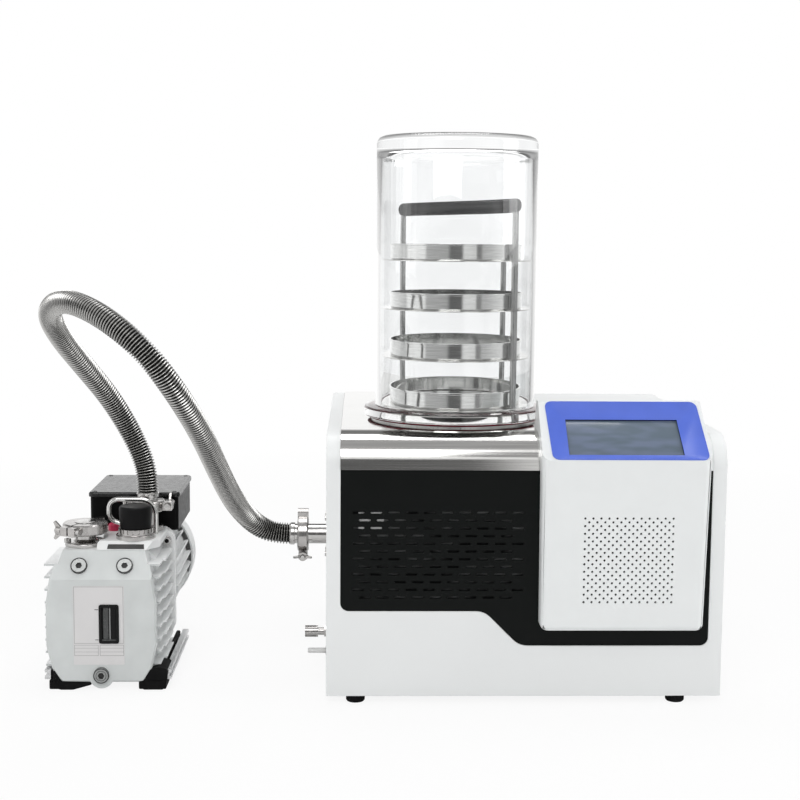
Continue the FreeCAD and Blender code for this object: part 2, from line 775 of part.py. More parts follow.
def make_oil_case():
    plate = case_outline([(60, case_bottom), (74, 34), (81.5, 66), (81.5, 128),
                          (76, case_crease), (65, case_top)], pump_front, case_plate)
    front = [e for e in plate.Edges if e.BoundBox.YMax < pump_front + 0.1]
    plate = plate.makeChamfer(2.5, front)
    core = case_outline([(56, case_bottom), (core_half, 40), (core_half, case_crease),
                         (60, case_top)], pump_front + case_plate, case_depth - case_plate)
    fins = side_fins(pump_front + case_plate + 4, pump_front + case_depth)
    boss = rod((pump_x - 2, pump_front, drain_plug_z), y_axis, 18.5, case_depth)
    case = plate.fuse([core, boss] + fins)
    slope = prism([(pump_x - 100, pump_front - 1, case_crease),
                   (pump_x - 100, pump_front + slope_run, case_top + 1),
                   (pump_x - 100, pump_front - 1, case_top + 1)], Vector(200, 0, 0))
    case = case.cut(slope)
    case = case.cut(rod((pump_x - 2, pump_front - 1, drain_plug_z), y_axis, 11.3, 4))
    window = box(sight_x0, sight_x1, pump_front - 1, pump_front + 6, sight_z0, sight_z1)
    case = case.cut(window)
    for x in oil_plug_x:
        seat = rod(plug_seat(x), plug_axis, 11.8, 4)
        case = case.cut(seat)
    parts["oil_case"] = case.removeSplitter()


def plug_seat(x, depth=2.0):
    run = plug_rise * slope_run / (case_top + 1 - case_crease)
    middle = Vector(x, pump_front + run, case_crease + plug_rise)
    seat = middle - plug_axis * depth
    return (seat.x, seat.y, seat.z)


def make_oil_plugs():
    plugs = []
    for x in oil_plug_x:
        plug = rod(plug_seat(x), plug_axis, 11.5, 6)
        plugs.append(plug.cut(hexagon(plug_seat(x, -1), plug_axis, 8, 6)))
    centre = (pump_x - 2, pump_front + 3, drain_plug_z)
    drain = rod(centre, Vector(0, -1, 0), 11, 7)
    socket = hexagon((centre[0], pump_front, drain_plug_z), Vector(0, -1, 0), 8, 6)
    plugs.append(drain.cut(socket))
    parts["oil_plugs"] = group(*plugs)


def make_sight_glass():
    front = pump_front - 1.5
    frame = box(sight_x0, sight_x1, front, pump_front + 6, sight_z0, sight_z1)
    recess = box(sight_x0 + 6, sight_x1 - 6, front - 1, front + 3, sight_z0 + 6, sight_z1 - 6)
    parts["sight_glass"] = frame.cut(recess)


def make_pump_body():
    front = pump_front + case_depth
    back = motor_start - 8
    body = box(pump_x - core_half, pump_x + core_half, front, back, 28, case_top - 8)
    body = body.makeFillet(14, [e for e in body.Edges if along(e, y_axis)])
    roof = box(pump_x - 60, pump_x + 60, front, back, case_top - 20, case_top)
    body = body.fuse([roof, pump_deck(back), flange_plate(back)] + side_fins(front, back - 14))
    parts["pump_body"] = body.removeSplitter()


def pump_deck(back):
    """The raised deck under the ballast knob, the bow and the inlet, sloped in front."""
    low = case_top
    corners = [(deck_left, deck_front, low), (deck_left, deck_front + deck - low, deck),
               (deck_left, back, deck), (deck_left, back, low)]
    slab = prism(corners, Vector(deck_right - deck_left, 0, 0))
    slab = slab.cut(rod((exhaust_x, exhaust_y, low), z_axis, exhaust_ring + 2, deck))
    corner = prism([(deck_right - 18, deck_front - 1, low - 1), (deck_right + 1, deck_front - 1, low - 1),
                    (deck_right + 1, deck_front + 23, low - 1)], Vector(0, 0, 20))
    slab = slab.cut(corner)
    return slab.makeFillet(4, [e for e in slab.Edges if along(e, y_axis) and e.BoundBox.ZMin > low])


def flange_plate(back):
    """The square plate between pump and motor, with a round stretch for the motor."""
    half = 81
    plate = box(motor_x - half, motor_x + half, back - 14, back, motor_z - half, deck)
    plate = plate.makeFillet(20, [e for e in plate.Edges if along(e, y_axis)])
    collar = rod((motor_x, back, motor_z), y_axis, half - 1, 8)
    return plate.fuse(collar)


def make_exhaust():
    centre = (exhaust_x, exhaust_y, 0)
    face = exhaust_face
    parts["exhaust_port"] = turned([
        (10, case_top), (exhaust_ring, case_top), (exhaust_ring, case_top + 5),
        (exhaust_ring - 1.5, case_top + 6.5),
        (18, case_top + 7), (15, case_top + 10), (15, face - rim_thickness),
        (rim_radius, face - 1.5), (rim_radius, face), (10, face)], centre)
    parts["exhaust_cap"] = turned([(0, face), (rim_radius, face), (rim_radius, face + 1.5),
                                   (15, face + rim_thickness), (15, face + 9),
                                   (0, face + 10)], centre)


def make_inlet():
    centre = (inlet_x, inlet_y, 0)
    face = inlet_face
    parts["inlet_port"] = turned([
        (11, deck), (23, deck), (23, deck + 6), (21, deck + 8), (15, deck + 8),
        (15, face - rim_thickness), (rim_radius, face - 1.5), (rim_radius, face),
        (11, face)], centre)


def make_hose_flanges():
    port = turned(rim_profile(11, 14), (port_face, port_y, port_z), x_axis)
    inlet = turned(rim_profile(11, 14), (inlet_x, inlet_y, inlet_face), Vector(0, 0, -1))
    parts["hose_flanges"] = group(port, inlet)


def make_carry_handle():
    loop = [(-304, bow_y, deck), (-304, bow_y, 227), (-329, bow_y, 235), (-329, bow_y, 266),
            (-259, bow_y, 266), (-259, bow_y, deck)]
    bow, _, _ = bent_rod(loop, 3.5)
    parts["carry_handle"] = bow


def make_gas_ballast():
    centre = (ballast_x, ballast_y, 0)
    low = deck + 15
    seat = turned([
        (0, deck), (29, deck), (29, deck + 5), (27.5, deck + 6.5), (25.5, deck + 7),
        (25.5, low), (6, low), (6, low + 8), (0, low + 8)], centre)
    notches = []
    for i in range(seat_notches):
        notch = box(24, 27, -1.5, 1.5, deck + 9, low + 1)
        notch.rotate(Vector(0, 0, 0), z_axis, 360 * i / seat_notches)
        notch.translate(Vector(*centre))
        notches.append(notch)
    parts["gas_ballast_seat"] = seat.cut(notches)
    parts["gas_ballast_knob"] = turned([
        (6.3, low + 0.3), (22.6, low + 0.3), (23, low + 1.5), (24.2, low + 22),
        (24.2, low + 31), (22, low + 33), (0, low + 33), (0, low + 8.3), (6.3, low + 8.3)], centre)
    parts["red_plug"] = turned([(0, deck), (8.4, deck), (8.4, deck + 8), (6.5, deck + 11),
                                (0, deck + 11)], (-326, 176, 0))


def make_motor():
    length = motor_end - motor_start
    frame = rod((motor_x, motor_start, motor_z), y_axis, motor_radius - 8, length)
    ribs = []
    for i in range(28):
        rib = box(-1.5, 1.5, motor_start + 6, motor_end - 4, motor_radius - 12, motor_radius)
        rib.rotate(Vector(0, 0, 0), y_axis, 360 * (i + 0.5) / 28)
        rib.translate(Vector(motor_x, 0, motor_z))
        ribs.append(rib)
    frame = frame.fuse(ribs)
    pad = box(motor_x - 44, motor_x + 44, 216, 344, motor_z + 60, terminal_low)
    foot = box(motor_x - 62, motor_x + 62, 222, 292, 30, 62)
    frame = frame.fuse([pad, foot])
    frame = frame.cut(box(*terminal_x, *terminal_y, terminal_low, unit_top))
    shaft_room = rod((motor_x, motor_end - 6, motor_z), y_axis, 9.5, 10)
    parts["motor_frame"] = frame.cut(shaft_room).removeSplitter()
    cover = rod((motor_x, motor_end, motor_z), y_axis, motor_radius + 3, cover_end - motor_end)
    rear = [e for e in cover.Edges if e.BoundBox.YMin > cover_end - 1 and not along(e, y_axis)]
    cover = cover.makeFillet(10, rear)
    inside = rod((motor_x, motor_end - 1, motor_z), y_axis, motor_radius,
                 cover_end - motor_end - 2)
    cover = cover.cut(inside)
    cuts = []
    for i in range(12):
        cut = box(-4, 4, cover_end - 5, cover_end + 1, 24, 66)
        cut.rotate(Vector(0, 0, 0), y_axis, 30 * i)
        cut.translate(Vector(motor_x, 0, motor_z))
        cuts.append(cut)
    parts["motor_fan_cover"] = cover.cut(cuts)
    hub = rod((0, motor_end + 12, 0), y_axis, 18, 18)
    shaft = rod((0, motor_end - 5.5, 0), y_axis, 9, 18)
    disc = rod((0, motor_end + 12, 0), y_axis, 66, 3)
    vanes = []
    for i in range(8):
        vane = box(-1.2, 1.2, motor_end + 15, motor_end + 34, 24, 72)
        vane.rotate(Vector(0, 0, 0), y_axis, 45 * i)
        vanes.append(vane)
    fan = hub.fuse([shaft, disc] + vanes)
    fan.translate(Vector(motor_x, 0, motor_z))
    parts["motor_fan"] = fan.removeSplitter()


def make_terminal_box():
    shell = box(*terminal_x, *terminal_y, terminal_low, terminal_high)
    shell = shell.makeFillet(6, [e for e in shell.Edges if along(e, z_axis)])
    parts["terminal_box"] = shell
    edge = 2.5
    lid = box(terminal_x[0] - edge, terminal_x[1] + edge, terminal_y[0] - edge,
              terminal_y[1] + edge, terminal_high, terminal_high + 7.5)
    lid = lid.makeFillet(8, [e for e in lid.Edges if along(e, z_axis)])
    lid = lid.makeChamfer(2, [e for e in lid.Edges if e.BoundBox.ZMin > terminal_high + 6])
    parts["terminal_lid"] = lid


def make_pump_base():
    """Two grooved rails on cross bars, with a rubber skid on two feet inside each rail."""
    right = base_x + rail_reach
    centre = Vector(base_x, 0, 0)
    rail = box(right - 4.5, right + 4.5, rail_front, rail_back, 14, 29)
    rail = rail.cut(box(right + 1.5, right + 5, rail_front - 1, rail_back + 1, 19, 24))
    cross = [box(base_x - rail_reach, right, y, y + 24, 14, 20) for y in (128, 246)]
    post = box(motor_x - 40, motor_x + 40, 250, 266, 20, 30)
    base = rail.multiFuse([rail.mirror(centre, x_axis), post] + cross)
    parts["pump_base"] = base.removeSplitter()
    skid = box(right - 11, right - 4.5, rail_front - 6, rail_back - 4, 14, 28).cut(cross)
    feet = [box(right - 39, right + 1, y, y + 44, 0, 14)
            for y in (rail_front - 8, rail_back - 52)]
    skid = skid.multiFuse(feet)
    shoe = box(right - 23, right - 4.5, rail_front - 6, rail_front + 36, 14, 28)
    parts["pump_feet"] = group(skid.fuse(shoe).removeSplitter(), skid.mirror(centre, x_axis))


def make_hose():
    hose, path, radii = bent_rod(hose_route, hose_radius)
    parts["vacuum_hose"] = hose
    expected = math.pi * hose_radius ** 2 * path.Length
    print("hose length %.1f, volume over section times length %.4f"
          % (path.Length, hose.Volume / expected))
    print("hose bend radii", [round(r) for r in radii])


def main():
    make_cabinet_frame()
    make_side_panels()
    make_rear_and_base()
    make_power_inlet()
    make_front_grille_panel()
    make_top()
    make_control_box()
    make_display()
    make_unit_feet()
    make_chamber()
    make_rack()
    make_refrigeration()
    make_clamps()
    make_port()
    make_valve_and_drain()
    make_oil_case()
    make_oil_plugs()
    make_sight_glass()
    make_pump_body()
    make_exhaust()
    make_inlet()
    make_hose_flanges()
    make_carry_handle()
    make_gas_ballast()
    make_motor()
    make_terminal_box()
    make_pump_base()
    make_hose()
    left = pump_x - fin_tip
    origin = Vector(-(unit_width + left) / 2, -(unit_depth - box_protrusion) / 2, 0)
    os.makedirs("parts", exist_ok=True)
    for name, shape in parts.items():
        shape.translate(origin)
        shape.exportStep("parts/%s.step" % name)
    print(len(parts), "pieces, origin shift", origin)


main()
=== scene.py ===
import bpy
import bmesh
import json
import math
from bisect import bisect_right
from mathutils import Matrix, Vector


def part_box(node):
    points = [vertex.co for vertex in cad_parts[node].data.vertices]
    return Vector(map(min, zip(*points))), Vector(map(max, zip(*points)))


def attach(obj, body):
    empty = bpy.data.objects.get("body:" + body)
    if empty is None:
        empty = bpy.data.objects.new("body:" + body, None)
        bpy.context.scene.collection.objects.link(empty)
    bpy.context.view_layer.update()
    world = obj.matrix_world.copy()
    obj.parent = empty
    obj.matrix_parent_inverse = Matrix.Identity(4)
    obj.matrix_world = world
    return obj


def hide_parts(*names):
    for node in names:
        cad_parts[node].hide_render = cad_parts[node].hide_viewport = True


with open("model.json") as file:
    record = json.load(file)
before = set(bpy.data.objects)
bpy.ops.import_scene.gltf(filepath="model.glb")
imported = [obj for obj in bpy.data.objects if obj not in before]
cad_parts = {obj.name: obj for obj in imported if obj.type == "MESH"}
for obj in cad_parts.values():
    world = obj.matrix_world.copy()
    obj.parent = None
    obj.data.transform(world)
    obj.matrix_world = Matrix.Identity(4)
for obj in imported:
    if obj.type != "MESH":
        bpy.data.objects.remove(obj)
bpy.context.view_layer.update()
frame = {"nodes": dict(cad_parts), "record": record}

nodes = frame["nodes"]
homeBody = {}
for bodyName, members in frame["record"]["behaviour"]["bodies"].items():
    for member in members:
        homeBody[member] = bodyName
homeSlot = {row["node"]: row["material_slot"] for row in frame["record"]["subparts"]}
print("frame loaded with", len(nodes), "nodes")


# ---- small helpers ----

samePlace = 1e-6  # metres; points nearer than this are one
nodeMerge = 2e-6
flatTurn = 0.4  # degrees; a node's triangles that turn less than this are one face


def mm(x, y, z):
    return Vector((x, y, z)) / 1000


def place(node):
    # lowest corner, highest corner and middle of a node, in metres
    low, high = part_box(node)
    return low, high, (low + high) / 2


def vertsIn(geom):
    return [g for g in geom if isinstance(g, bmesh.types.BMVert)]


def faceOut(bm):
    bmesh.ops.recalc_face_normals(bm, faces=bm.faces)


def drawEdges(bm, edges):
    # draws edges out from where they are and gives back their new vertices
    return vertsIn(bmesh.ops.extrude_edge_only(bm, edges=edges)["geom"])


def drawFace(bm, way):
    # gives a bmesh that holds one flat face its thickness, along a vector in metres
    made = bmesh.ops.extrude_face_region(bm, geom=bm.faces[:])["geom"]
    bmesh.ops.translate(bm, vec=way, verts=vertsIn(made))
    faceOut(bm)


def spinRound(bm, geom, steps):
    # a full turn about Z, closed on itself
    bmesh.ops.spin(bm, geom=geom, cent=(0, 0, 0), axis=(0, 0, 1), angle=math.tau,
                   steps=steps, use_merge=True)
    bmesh.ops.remove_doubles(bm, verts=bm.verts, dist=samePlace)


def markSharp(bm, degrees):
    for face in bm.faces:
        face.smooth = True
    limit = math.radians(degrees)
    for edge in bm.edges:
        if len(edge.link_faces) == 2 and edge.calc_face_angle(0) > limit:
            edge.smooth = False


def inScene(name, data):
    thing = bpy.data.objects.new(name, data)
    bpy.context.scene.collection.objects.link(thing)
    return thing


def meshObject(name, bm, finish):
    mesh = bpy.data.meshes.new(name)
    bm.to_mesh(mesh)
    bm.free()
    mesh.materials.append(finish)
    return inScene(name, mesh)


def addPiece(name, bm, finish, standsFor=None, sharp=35, slot=None):
    # turns a bmesh into a piece with the body of the node that it stands for
    if standsFor:
        body, slot = homeBody[standsFor], homeSlot[standsFor]
    else:
        body = "dryer"
    markSharp(bm, sharp)
    piece = meshObject(name, bm, finish)
    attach(piece, body)
    if standsFor:
        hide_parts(standsFor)
    return piece


def evenNormals(piece):
    # keeps the big faces flat beside their small rounded edges
    weighted = piece.modifiers.new("evenNormals", "WEIGHTED_NORMAL")
    weighted.keep_sharp = True
    return piece


def bevelEdges(bm, edges, width, segments):
    # rounds the edges by a width in mm
    bmesh.ops.bevel(bm, geom=edges, offset=width / 1000, segments=segments, profile=0.5,
                    affect="EDGES", material=-1, clamp_overlap=True)


def roundEdges(bm, width, segments=2, above=30, chosen=None):
    # rounds every edge that turns more than the angle
    limit = math.radians(above)
    edges = [e for e in bm.edges
             if len(e.link_faces) == 2 and e.calc_face_angle(0) > limit
             and (chosen is None or chosen(e))]
    if edges:
        bevelEdges(bm, edges, width, segments)


def softCopy(node, finish, edge, segments=2, change=None, above=30):
    # the node's own shape, its flat triangles joined again and its edges broken
    bm = bmesh.new()
    bm.from_mesh(nodes[node].data)
    bmesh.ops.remove_doubles(bm, verts=bm.verts, dist=nodeMerge)
    bmesh.ops.dissolve_limit(bm, angle_limit=math.radians(flatTurn), verts=bm.verts, edges=bm.edges)
    if change:
        change(bm)
    roundEdges(bm, edge, segments, above)
    return evenNormals(addPiece(node + "Dressed", bm, finish, node))


def copyRows(rows):
    # soft copies, from rows of node, finish, edge in mm, steps and what is changed
    for row in rows:
        softCopy(*row)


def turned(profile, steps=96, corners=()):
    # spins a (radius, height) outline in mm about Z; corners are (radius, height, rounding)
    bm = bmesh.new()
    ring = [bm.verts.new(mm(radius, 0, height)) for radius, height in profile]
    closed = profile[0][0] > 0 or profile[-1][0] > 0
    pairs = list(zip(ring, ring[1:])) + ([(ring[-1], ring[0])] if closed else [])
    spinRound(bm, ring + [bm.edges.new(pair) for pair in pairs], steps)
    faceOut(bm)
    near = 0.02  # mm
    for radius, height, rounding in corners:
        def onRing(vert):
            return (abs(math.hypot(vert.co.x, vert.co.y) * 1000 - radius) < near
                    and abs(vert.co.z * 1000 - height) < near)
        bevelEdges(bm, [e for e in bm.edges if onRing(e.verts[0]) and onRing(e.verts[1])], rounding, 4)
    return bm


def stand(bm, base, axis=(0, 0, 1)):
    # lays what was made about Z along an axis from a base point, in metres
    turn = Vector((0, 0, 1)).rotation_difference(Vector(axis)).to_matrix().to_4x4()
    bmesh.ops.transform(bm, matrix=Matrix.Translation(base) @ turn, verts=bm.verts)
    return bm


def framed(outer, inner, thick):
    # a flat frame between two four-cornered outlines, in metres
    bm = bmesh.new()
    rings = [[bm.verts.new(corner) for corner in ring] for ring in (outer, inner)]
    for i in range(4):
        j = (i + 1) % 4
        bm.faces.new((rings[0][i], rings[0][j], rings[1][j], rings[1][i]))
    faceOut(bm)
    bmesh.ops.solidify(bm, geom=bm.faces[:], thickness=thick / 1000)
    faceOut(bm)
    return bm


def block(bm, low, high):
    # a box between two corners in metres
    made = bmesh.ops.create_cube(bm, size=1)["verts"]
    size = Vector(high) - Vector(low)
    middle = (Vector(high) + Vector(low)) / 2
    bmesh.ops.transform(bm, matrix=Matrix.Translation(middle) @ Matrix.Diagonal((*size, 1)), verts=made)


def plate(name, low, high, finish, edge, slot):
    # one small rounded block as a piece of the dryer
    bm = bmesh.new()
    block(bm, low, high)
    roundEdges(bm, edge)
    evenNormals(addPiece(name, bm, finish, slot=slot))


# ---- finishes ----

white = (1, 1, 1, 1)


class Wires:
    # a node tree with short ways to add nodes and join them
    def __init__(self, tree):
        self.tree = tree

    def node(self, kind, **settings):
        made = self.tree.nodes.new(kind)
        for key, value in settings.items():
            if key in made.inputs:
                made.inputs[key].default_value = value
            else:
                setattr(made, key, value)
        return made

    def link(self, start, end):
        self.tree.links.new(start, end)

    def maths(self, operation, first, second):
        made = self.node("ShaderNodeMath", operation=operation)
        self.link(first, made.inputs[0])
        self.link(second, made.inputs[1])
        return made.outputs[0]

    def blend(self, share, first, second):
        mix = self.node("ShaderNodeMixShader")
        for start, end in zip((share, first, second), mix.inputs):
            self.link(start, end)
        return mix.outputs["Shader"]

    def spread(self, value, low, high, fromLow=0.3, fromHigh=0.7):
        ranged = self.node("ShaderNodeMapRange", **{"From Min": fromLow, "From Max": fromHigh,
                                                    "To Min": low, "To Max": high})
        self.link(value, ranged.inputs["Value"])
        return ranged.outputs["Result"]

    def turnAngle(self, point, first, second):
        # the angle of a point in the plane of two axes, from minus the second axis
        parts = self.node("ShaderNodeSeparateXYZ")
        self.link(point, parts.inputs[0])
        flip = self.node("ShaderNodeMath", operation="MULTIPLY")
        flip.inputs[1].default_value = -1
        self.link(parts.outputs[second], flip.inputs[0])
        return self.maths("ARCTAN2", parts.outputs[first], flip.outputs[0])

    def banded(self, angle, bands):
        # a grey level by angle in radians, from rows of (degrees, level)
        start, end = bands[0][0], bands[-1][0]
        ramp = self.node("ShaderNodeValToRGB")
        self.link(self.spread(angle, 0, 1, math.radians(start), math.radians(end)), ramp.inputs["Fac"])
        stops = ramp.color_ramp.elements
        for degrees, level in bands[1:-1]:
            stops.new((degrees - start) / (end - start))
        for stop, (degrees, level) in zip(stops, bands):
            stop.color = (level, level, level, 1)
        return ramp.outputs["Color"]


class Finish(Wires):
    # a Principled material with a few ways to vary it over the surface
    def __init__(self, name, colour, roughness, metallic=0.0, coat=0.0, shine=0.5):
        self.material = bpy.data.materials.new(name)
        self.material.use_nodes = True
        super().__init__(self.material.node_tree)
        self.shader = self.tree.nodes["Principled BSDF"]
        self.coordinates = None
        self.lastNormal = None
        self.set({"Base Color": (*colour, 1), "Roughness": roughness, "Metallic": metallic,
                  "Coat Weight": coat, "Specular IOR Level": shine})

    def set(self, values):
        for key, value in values.items():
            self.shader.inputs[key].default_value = value

    def show(self, surface):
        self.link(surface, self.tree.nodes["Material Output"].inputs["Surface"])

    def grain(self, scale, stretch=(1, 1, 1), detail=3.0):
        if self.coordinates is None:
            self.coordinates = self.node("ShaderNodeTexCoord").outputs["Object"]
        mapping = self.node("ShaderNodeMapping", Scale=stretch)
        noise = self.node("ShaderNodeTexNoise", Scale=scale, Detail=detail)
        self.link(self.coordinates, mapping.inputs["Vector"])
        self.link(mapping.outputs["Vector"], noise.inputs["Vector"])
        return noise.outputs["Fac"]

    def vary(self, value, darker, lighter, fromLow=0.3, fromHigh=0.7):
        # base colour from one shade to another by a value
        mix = self.node("ShaderNodeMix", data_type="RGBA")
        colours = [s for s in mix.inputs if s.type == "RGBA"]
        colours[0].default_value = (*darker, 1)
        colours[1].default_value = (*lighter, 1)
        self.link(self.spread(value, 0, 1, fromLow, fromHigh), mix.inputs[0])
        result = [s for s in mix.outputs if s.type == "RGBA"][0]
        self.link(result, self.shader.inputs["Base Color"])

    def polish(self, value, low, high):
        self.link(self.spread(value, low, high), self.shader.inputs["Roughness"])

    def emboss(self, value, depth):
        # bump depth in millimetres; several may be stacked
        bump = self.node("ShaderNodeBump", Strength=1.0, Distance=depth / 1000)
        self.link(value, bump.inputs["Height"])
        if self.lastNormal is not None:
            self.link(self.lastNormal, bump.inputs["Normal"])
        self.lastNormal = bump.outputs["Normal"]
        self.link(self.lastNormal, self.shader.inputs["Normal"])


def shade(colour, factor):
    return tuple(min(1.0, c * factor) for c in colour)


def enamel(name, colour, roughness, peel=0.012, shine=0.5):
    # sprayed paint with a fine orange peel
    made = Finish(name, colour, roughness, shine=shine)
    made.vary(made.grain(7, detail=2), shade(colour, 0.985), shade(colour, 1.01))
    made.polish(made.grain(38), roughness - 0.05, roughness + 0.06)
    made.emboss(made.grain(620, detail=1), peel)
    return made.material


def castPaint(name, colour, roughness):
    # paint over a sand casting
    made = Finish(name, colour, roughness)
    made.vary(made.grain(24, detail=4), shade(colour, 0.93), shade(colour, 1.03))
    made.polish(made.grain(90), roughness - 0.06, roughness + 0.08)
    made.emboss(made.grain(330, detail=5), 0.05)
    made.emboss(made.grain(1400, detail=2), 0.02)
    return made.material


def brushed(name, colour, roughness, along, lines=0.006):
    # fine straight grinding lines; along holds the stretch of the pattern
    made = Finish(name, colour, roughness, metallic=1.0)
    made.vary(made.grain(1, along, detail=4), shade(colour, 0.86), shade(colour, 1.06))
    made.polish(made.grain(1, tuple(a * 0.5 for a in along)), roughness * 0.7, roughness * 1.4)
    made.emboss(made.grain(1, tuple(a * 1.7 for a in along)), lines)
    return made.material


def polished(name, colour, roughness, smear=60, ripple=0.004):
    made = Finish(name, colour, roughness, metallic=1.0)
    made.vary(made.grain(smear, detail=4), shade(colour, 0.88), shade(colour, 1.05))
    made.polish(made.grain(smear * 4), max(0.03, roughness - 0.05), roughness + 0.08)
    made.emboss(made.grain(smear * 9, detail=2), ripple)
    return made.material


def plastic(name, colour, roughness, texture=0.008, mottle=0.04, shine=0.5):
    made = Finish(name, colour, roughness, shine=shine)
    made.vary(made.grain(30), shade(colour, 1 - mottle), shade(colour, 1 + mottle))
    made.polish(made.grain(160), roughness - 0.04, roughness + 0.06)
    made.emboss(made.grain(1900, detail=2), texture)
    return made.material


def rubber(name, colour):
    made = Finish(name, colour, 0.72, shine=0.12)
    made.vary(made.grain(70, detail=5), shade(colour, 0.8), shade(colour, 1.6))
    made.emboss(made.grain(900, detail=4), 0.03)
    return made.material


def clearAcrylic(name):
    # clear wall that lets the lamps through to what stands inside
    made = Finish(name, (0.985, 0.992, 0.995), 0.0, shine=0.28)
    made.set({"Transmission Weight": 1.0, "IOR": 1.49})
    ray = made.node("ShaderNodeLightPath").outputs
    clear = made.node("ShaderNodeBsdfTransparent").outputs["BSDF"]
    passed = made.maths("MAXIMUM", ray["Is Shadow Ray"], ray["Is Reflection Ray"])
    made.show(made.blend(passed, made.shader.outputs["BSDF"], clear))
    return made.material


whiteEnamel = enamel("whiteEnamel", (0.85, 0.865, 0.865), 0.4)
whiteMoulding = plastic("whiteMoulding", (0.84, 0.86, 0.86), 0.38, mottle=0.01)
blackEnamel = enamel("blackEnamel", (0.0035, 0.0045, 0.0042), 0.45, peel=0.006, shine=0.12)
brushedTop = brushed("brushedTop", (0.66, 0.655, 0.64), 0.11, (9, 800, 800), lines=0.002)
brushedRound = polished("brushedRound", (0.62, 0.62, 0.61), 0.3, smear=90)
polishedSteel = polished("polishedSteel", (0.74, 0.735, 0.72), 0.08)
panSteel = brushed("panSteel", (0.72, 0.725, 0.715), 0.085, (40, 40, 700), lines=0.002)
satinNickel = polished("satinNickel", (0.52, 0.505, 0.495), 0.2, smear=60, ripple=0.003)
fittingSteel = polished("fittingSteel", (0.56, 0.55, 0.54), 0.14)
rodSteel = polished("rodSteel", (0.40, 0.405, 0.40), 0.16)
plugSteel = polished("plugSteel", (0.36, 0.37, 0.365), 0.38, smear=200)
plainAluminium = brushed("plainAluminium", (0.74, 0.745, 0.75), 0.34, (300, 12, 300))
zincSheet = polished("zincSheet", (0.55, 0.56, 0.57), 0.4, smear=45)
copperTube = polished("copperTube", (0.72, 0.38, 0.22), 0.3)
# one cast paint in two copies: the darker copy on the oil case's front is painted shade, and the lighter
# copy on the fins, roof, pump body and motor is painted light
shadedCastPaint = castPaint("shadedCastPaint", (0.64, 0.665, 0.66), 0.4)
litCastPaint = castPaint("litCastPaint", (0.90, 0.91, 0.91), 0.38)
bluePlastic = plastic("bluePlastic", (0.085, 0.155, 0.66), 0.34)
lidBlack = plastic("lidBlack", (0.005, 0.0055, 0.006), 0.22, texture=0.002, shine=0.55)
glossBlack = plastic("glossBlack", (0.003, 0.0035, 0.004), 0.14, texture=0.002, shine=0.25)
blackPlastic = plastic("blackPlastic", (0.003, 0.003, 0.0035), 0.4, shine=0.15)
boxBlack = plastic("boxBlack", (0.0025, 0.0025, 0.0027), 0.34, texture=0.004, shine=0.1)
whiteSpigot = plastic("whiteSpigot", (0.76, 0.76, 0.75), 0.45)
paleHousing = plastic("paleHousing", (0.98, 0.98, 0.97), 0.35)
redCap = plastic("redCap", (0.62, 0.03, 0.10), 0.35)
labelFilm = plastic("labelFilm", (0.69, 0.68, 0.68), 0.32, texture=0.002, mottle=0.015)
lineGrey = plastic("lineGrey", (0.36, 0.36, 0.36), 0.5, mottle=0.1)
# print, and also painted shade: the dark rings in the plug gaps, groove and sockets
printAndShadeBlack = plastic("printAndShadeBlack", (0.01, 0.01, 0.01), 0.5)
redSilicone = rubber("redSilicone", (0.085, 0.007, 0.013))
blackRubber = rubber("blackRubber", (0.004, 0.004, 0.0043))
acrylic = clearAcrylic("acrylic")
sightBlack = plastic("sightBlack", (0.003, 0.0035, 0.0035), 0.3, shine=0.2)
paneGrey = plastic("paneGrey", (0.052, 0.054, 0.054), 0.25, texture=0.001, mottle=0.3)
# a painted highlight: the pale strip that stands for the glint on the sight glass's tube
glintGrey = plastic("glintGrey", (0.27, 0.275, 0.275), 0.2, texture=0.001, mottle=0.2)
darkPlate = plastic("darkPlate", (0.045, 0.045, 0.045), 0.4, mottle=0.3)
lidScrewSteel = polished("lidScrewSteel", (0.22, 0.22, 0.22), 0.35)
print("finishes made")


# ---- camera ----

cameraSetup = {
    "position": (-0.029908, -2.248610, 0.667380),
    "lens": 65.11,
    "sensor": 36,
    "sees": (0.05, 60),  # metres, from and to
    "pitchDown": 0.1156,  # radians
    "yawRight": 0.0281,
    "roll": 0.0077,
}


def setCamera(setup):
    pitch, yaw, roll = setup["pitchDown"], setup["yawRight"], setup["roll"]
    ahead = Vector((math.sin(yaw) * math.cos(pitch), math.cos(yaw) * math.cos(pitch), -math.sin(pitch)))
    level = Vector((math.cos(yaw), -math.sin(yaw), 0))
    lift = level.cross(ahead)
    right = level * math.cos(roll) + lift * math.sin(roll)
    up = lift * math.cos(roll) - level * math.sin(roll)
    data = bpy.data.cameras.new("camera")
    data.lens, data.sensor_width = setup["lens"], setup["sensor"]
    data.clip_start, data.clip_end = setup["sees"]
    camera = inScene("camera", data)
    facing = Matrix((right, up, -ahead)).transposed().to_4x4()
    camera.matrix_world = Matrix.Translation(setup["position"]) @ facing
    bpy.context.scene.camera = camera


setCamera(cameraSetup)


# ---- bellows hose ----

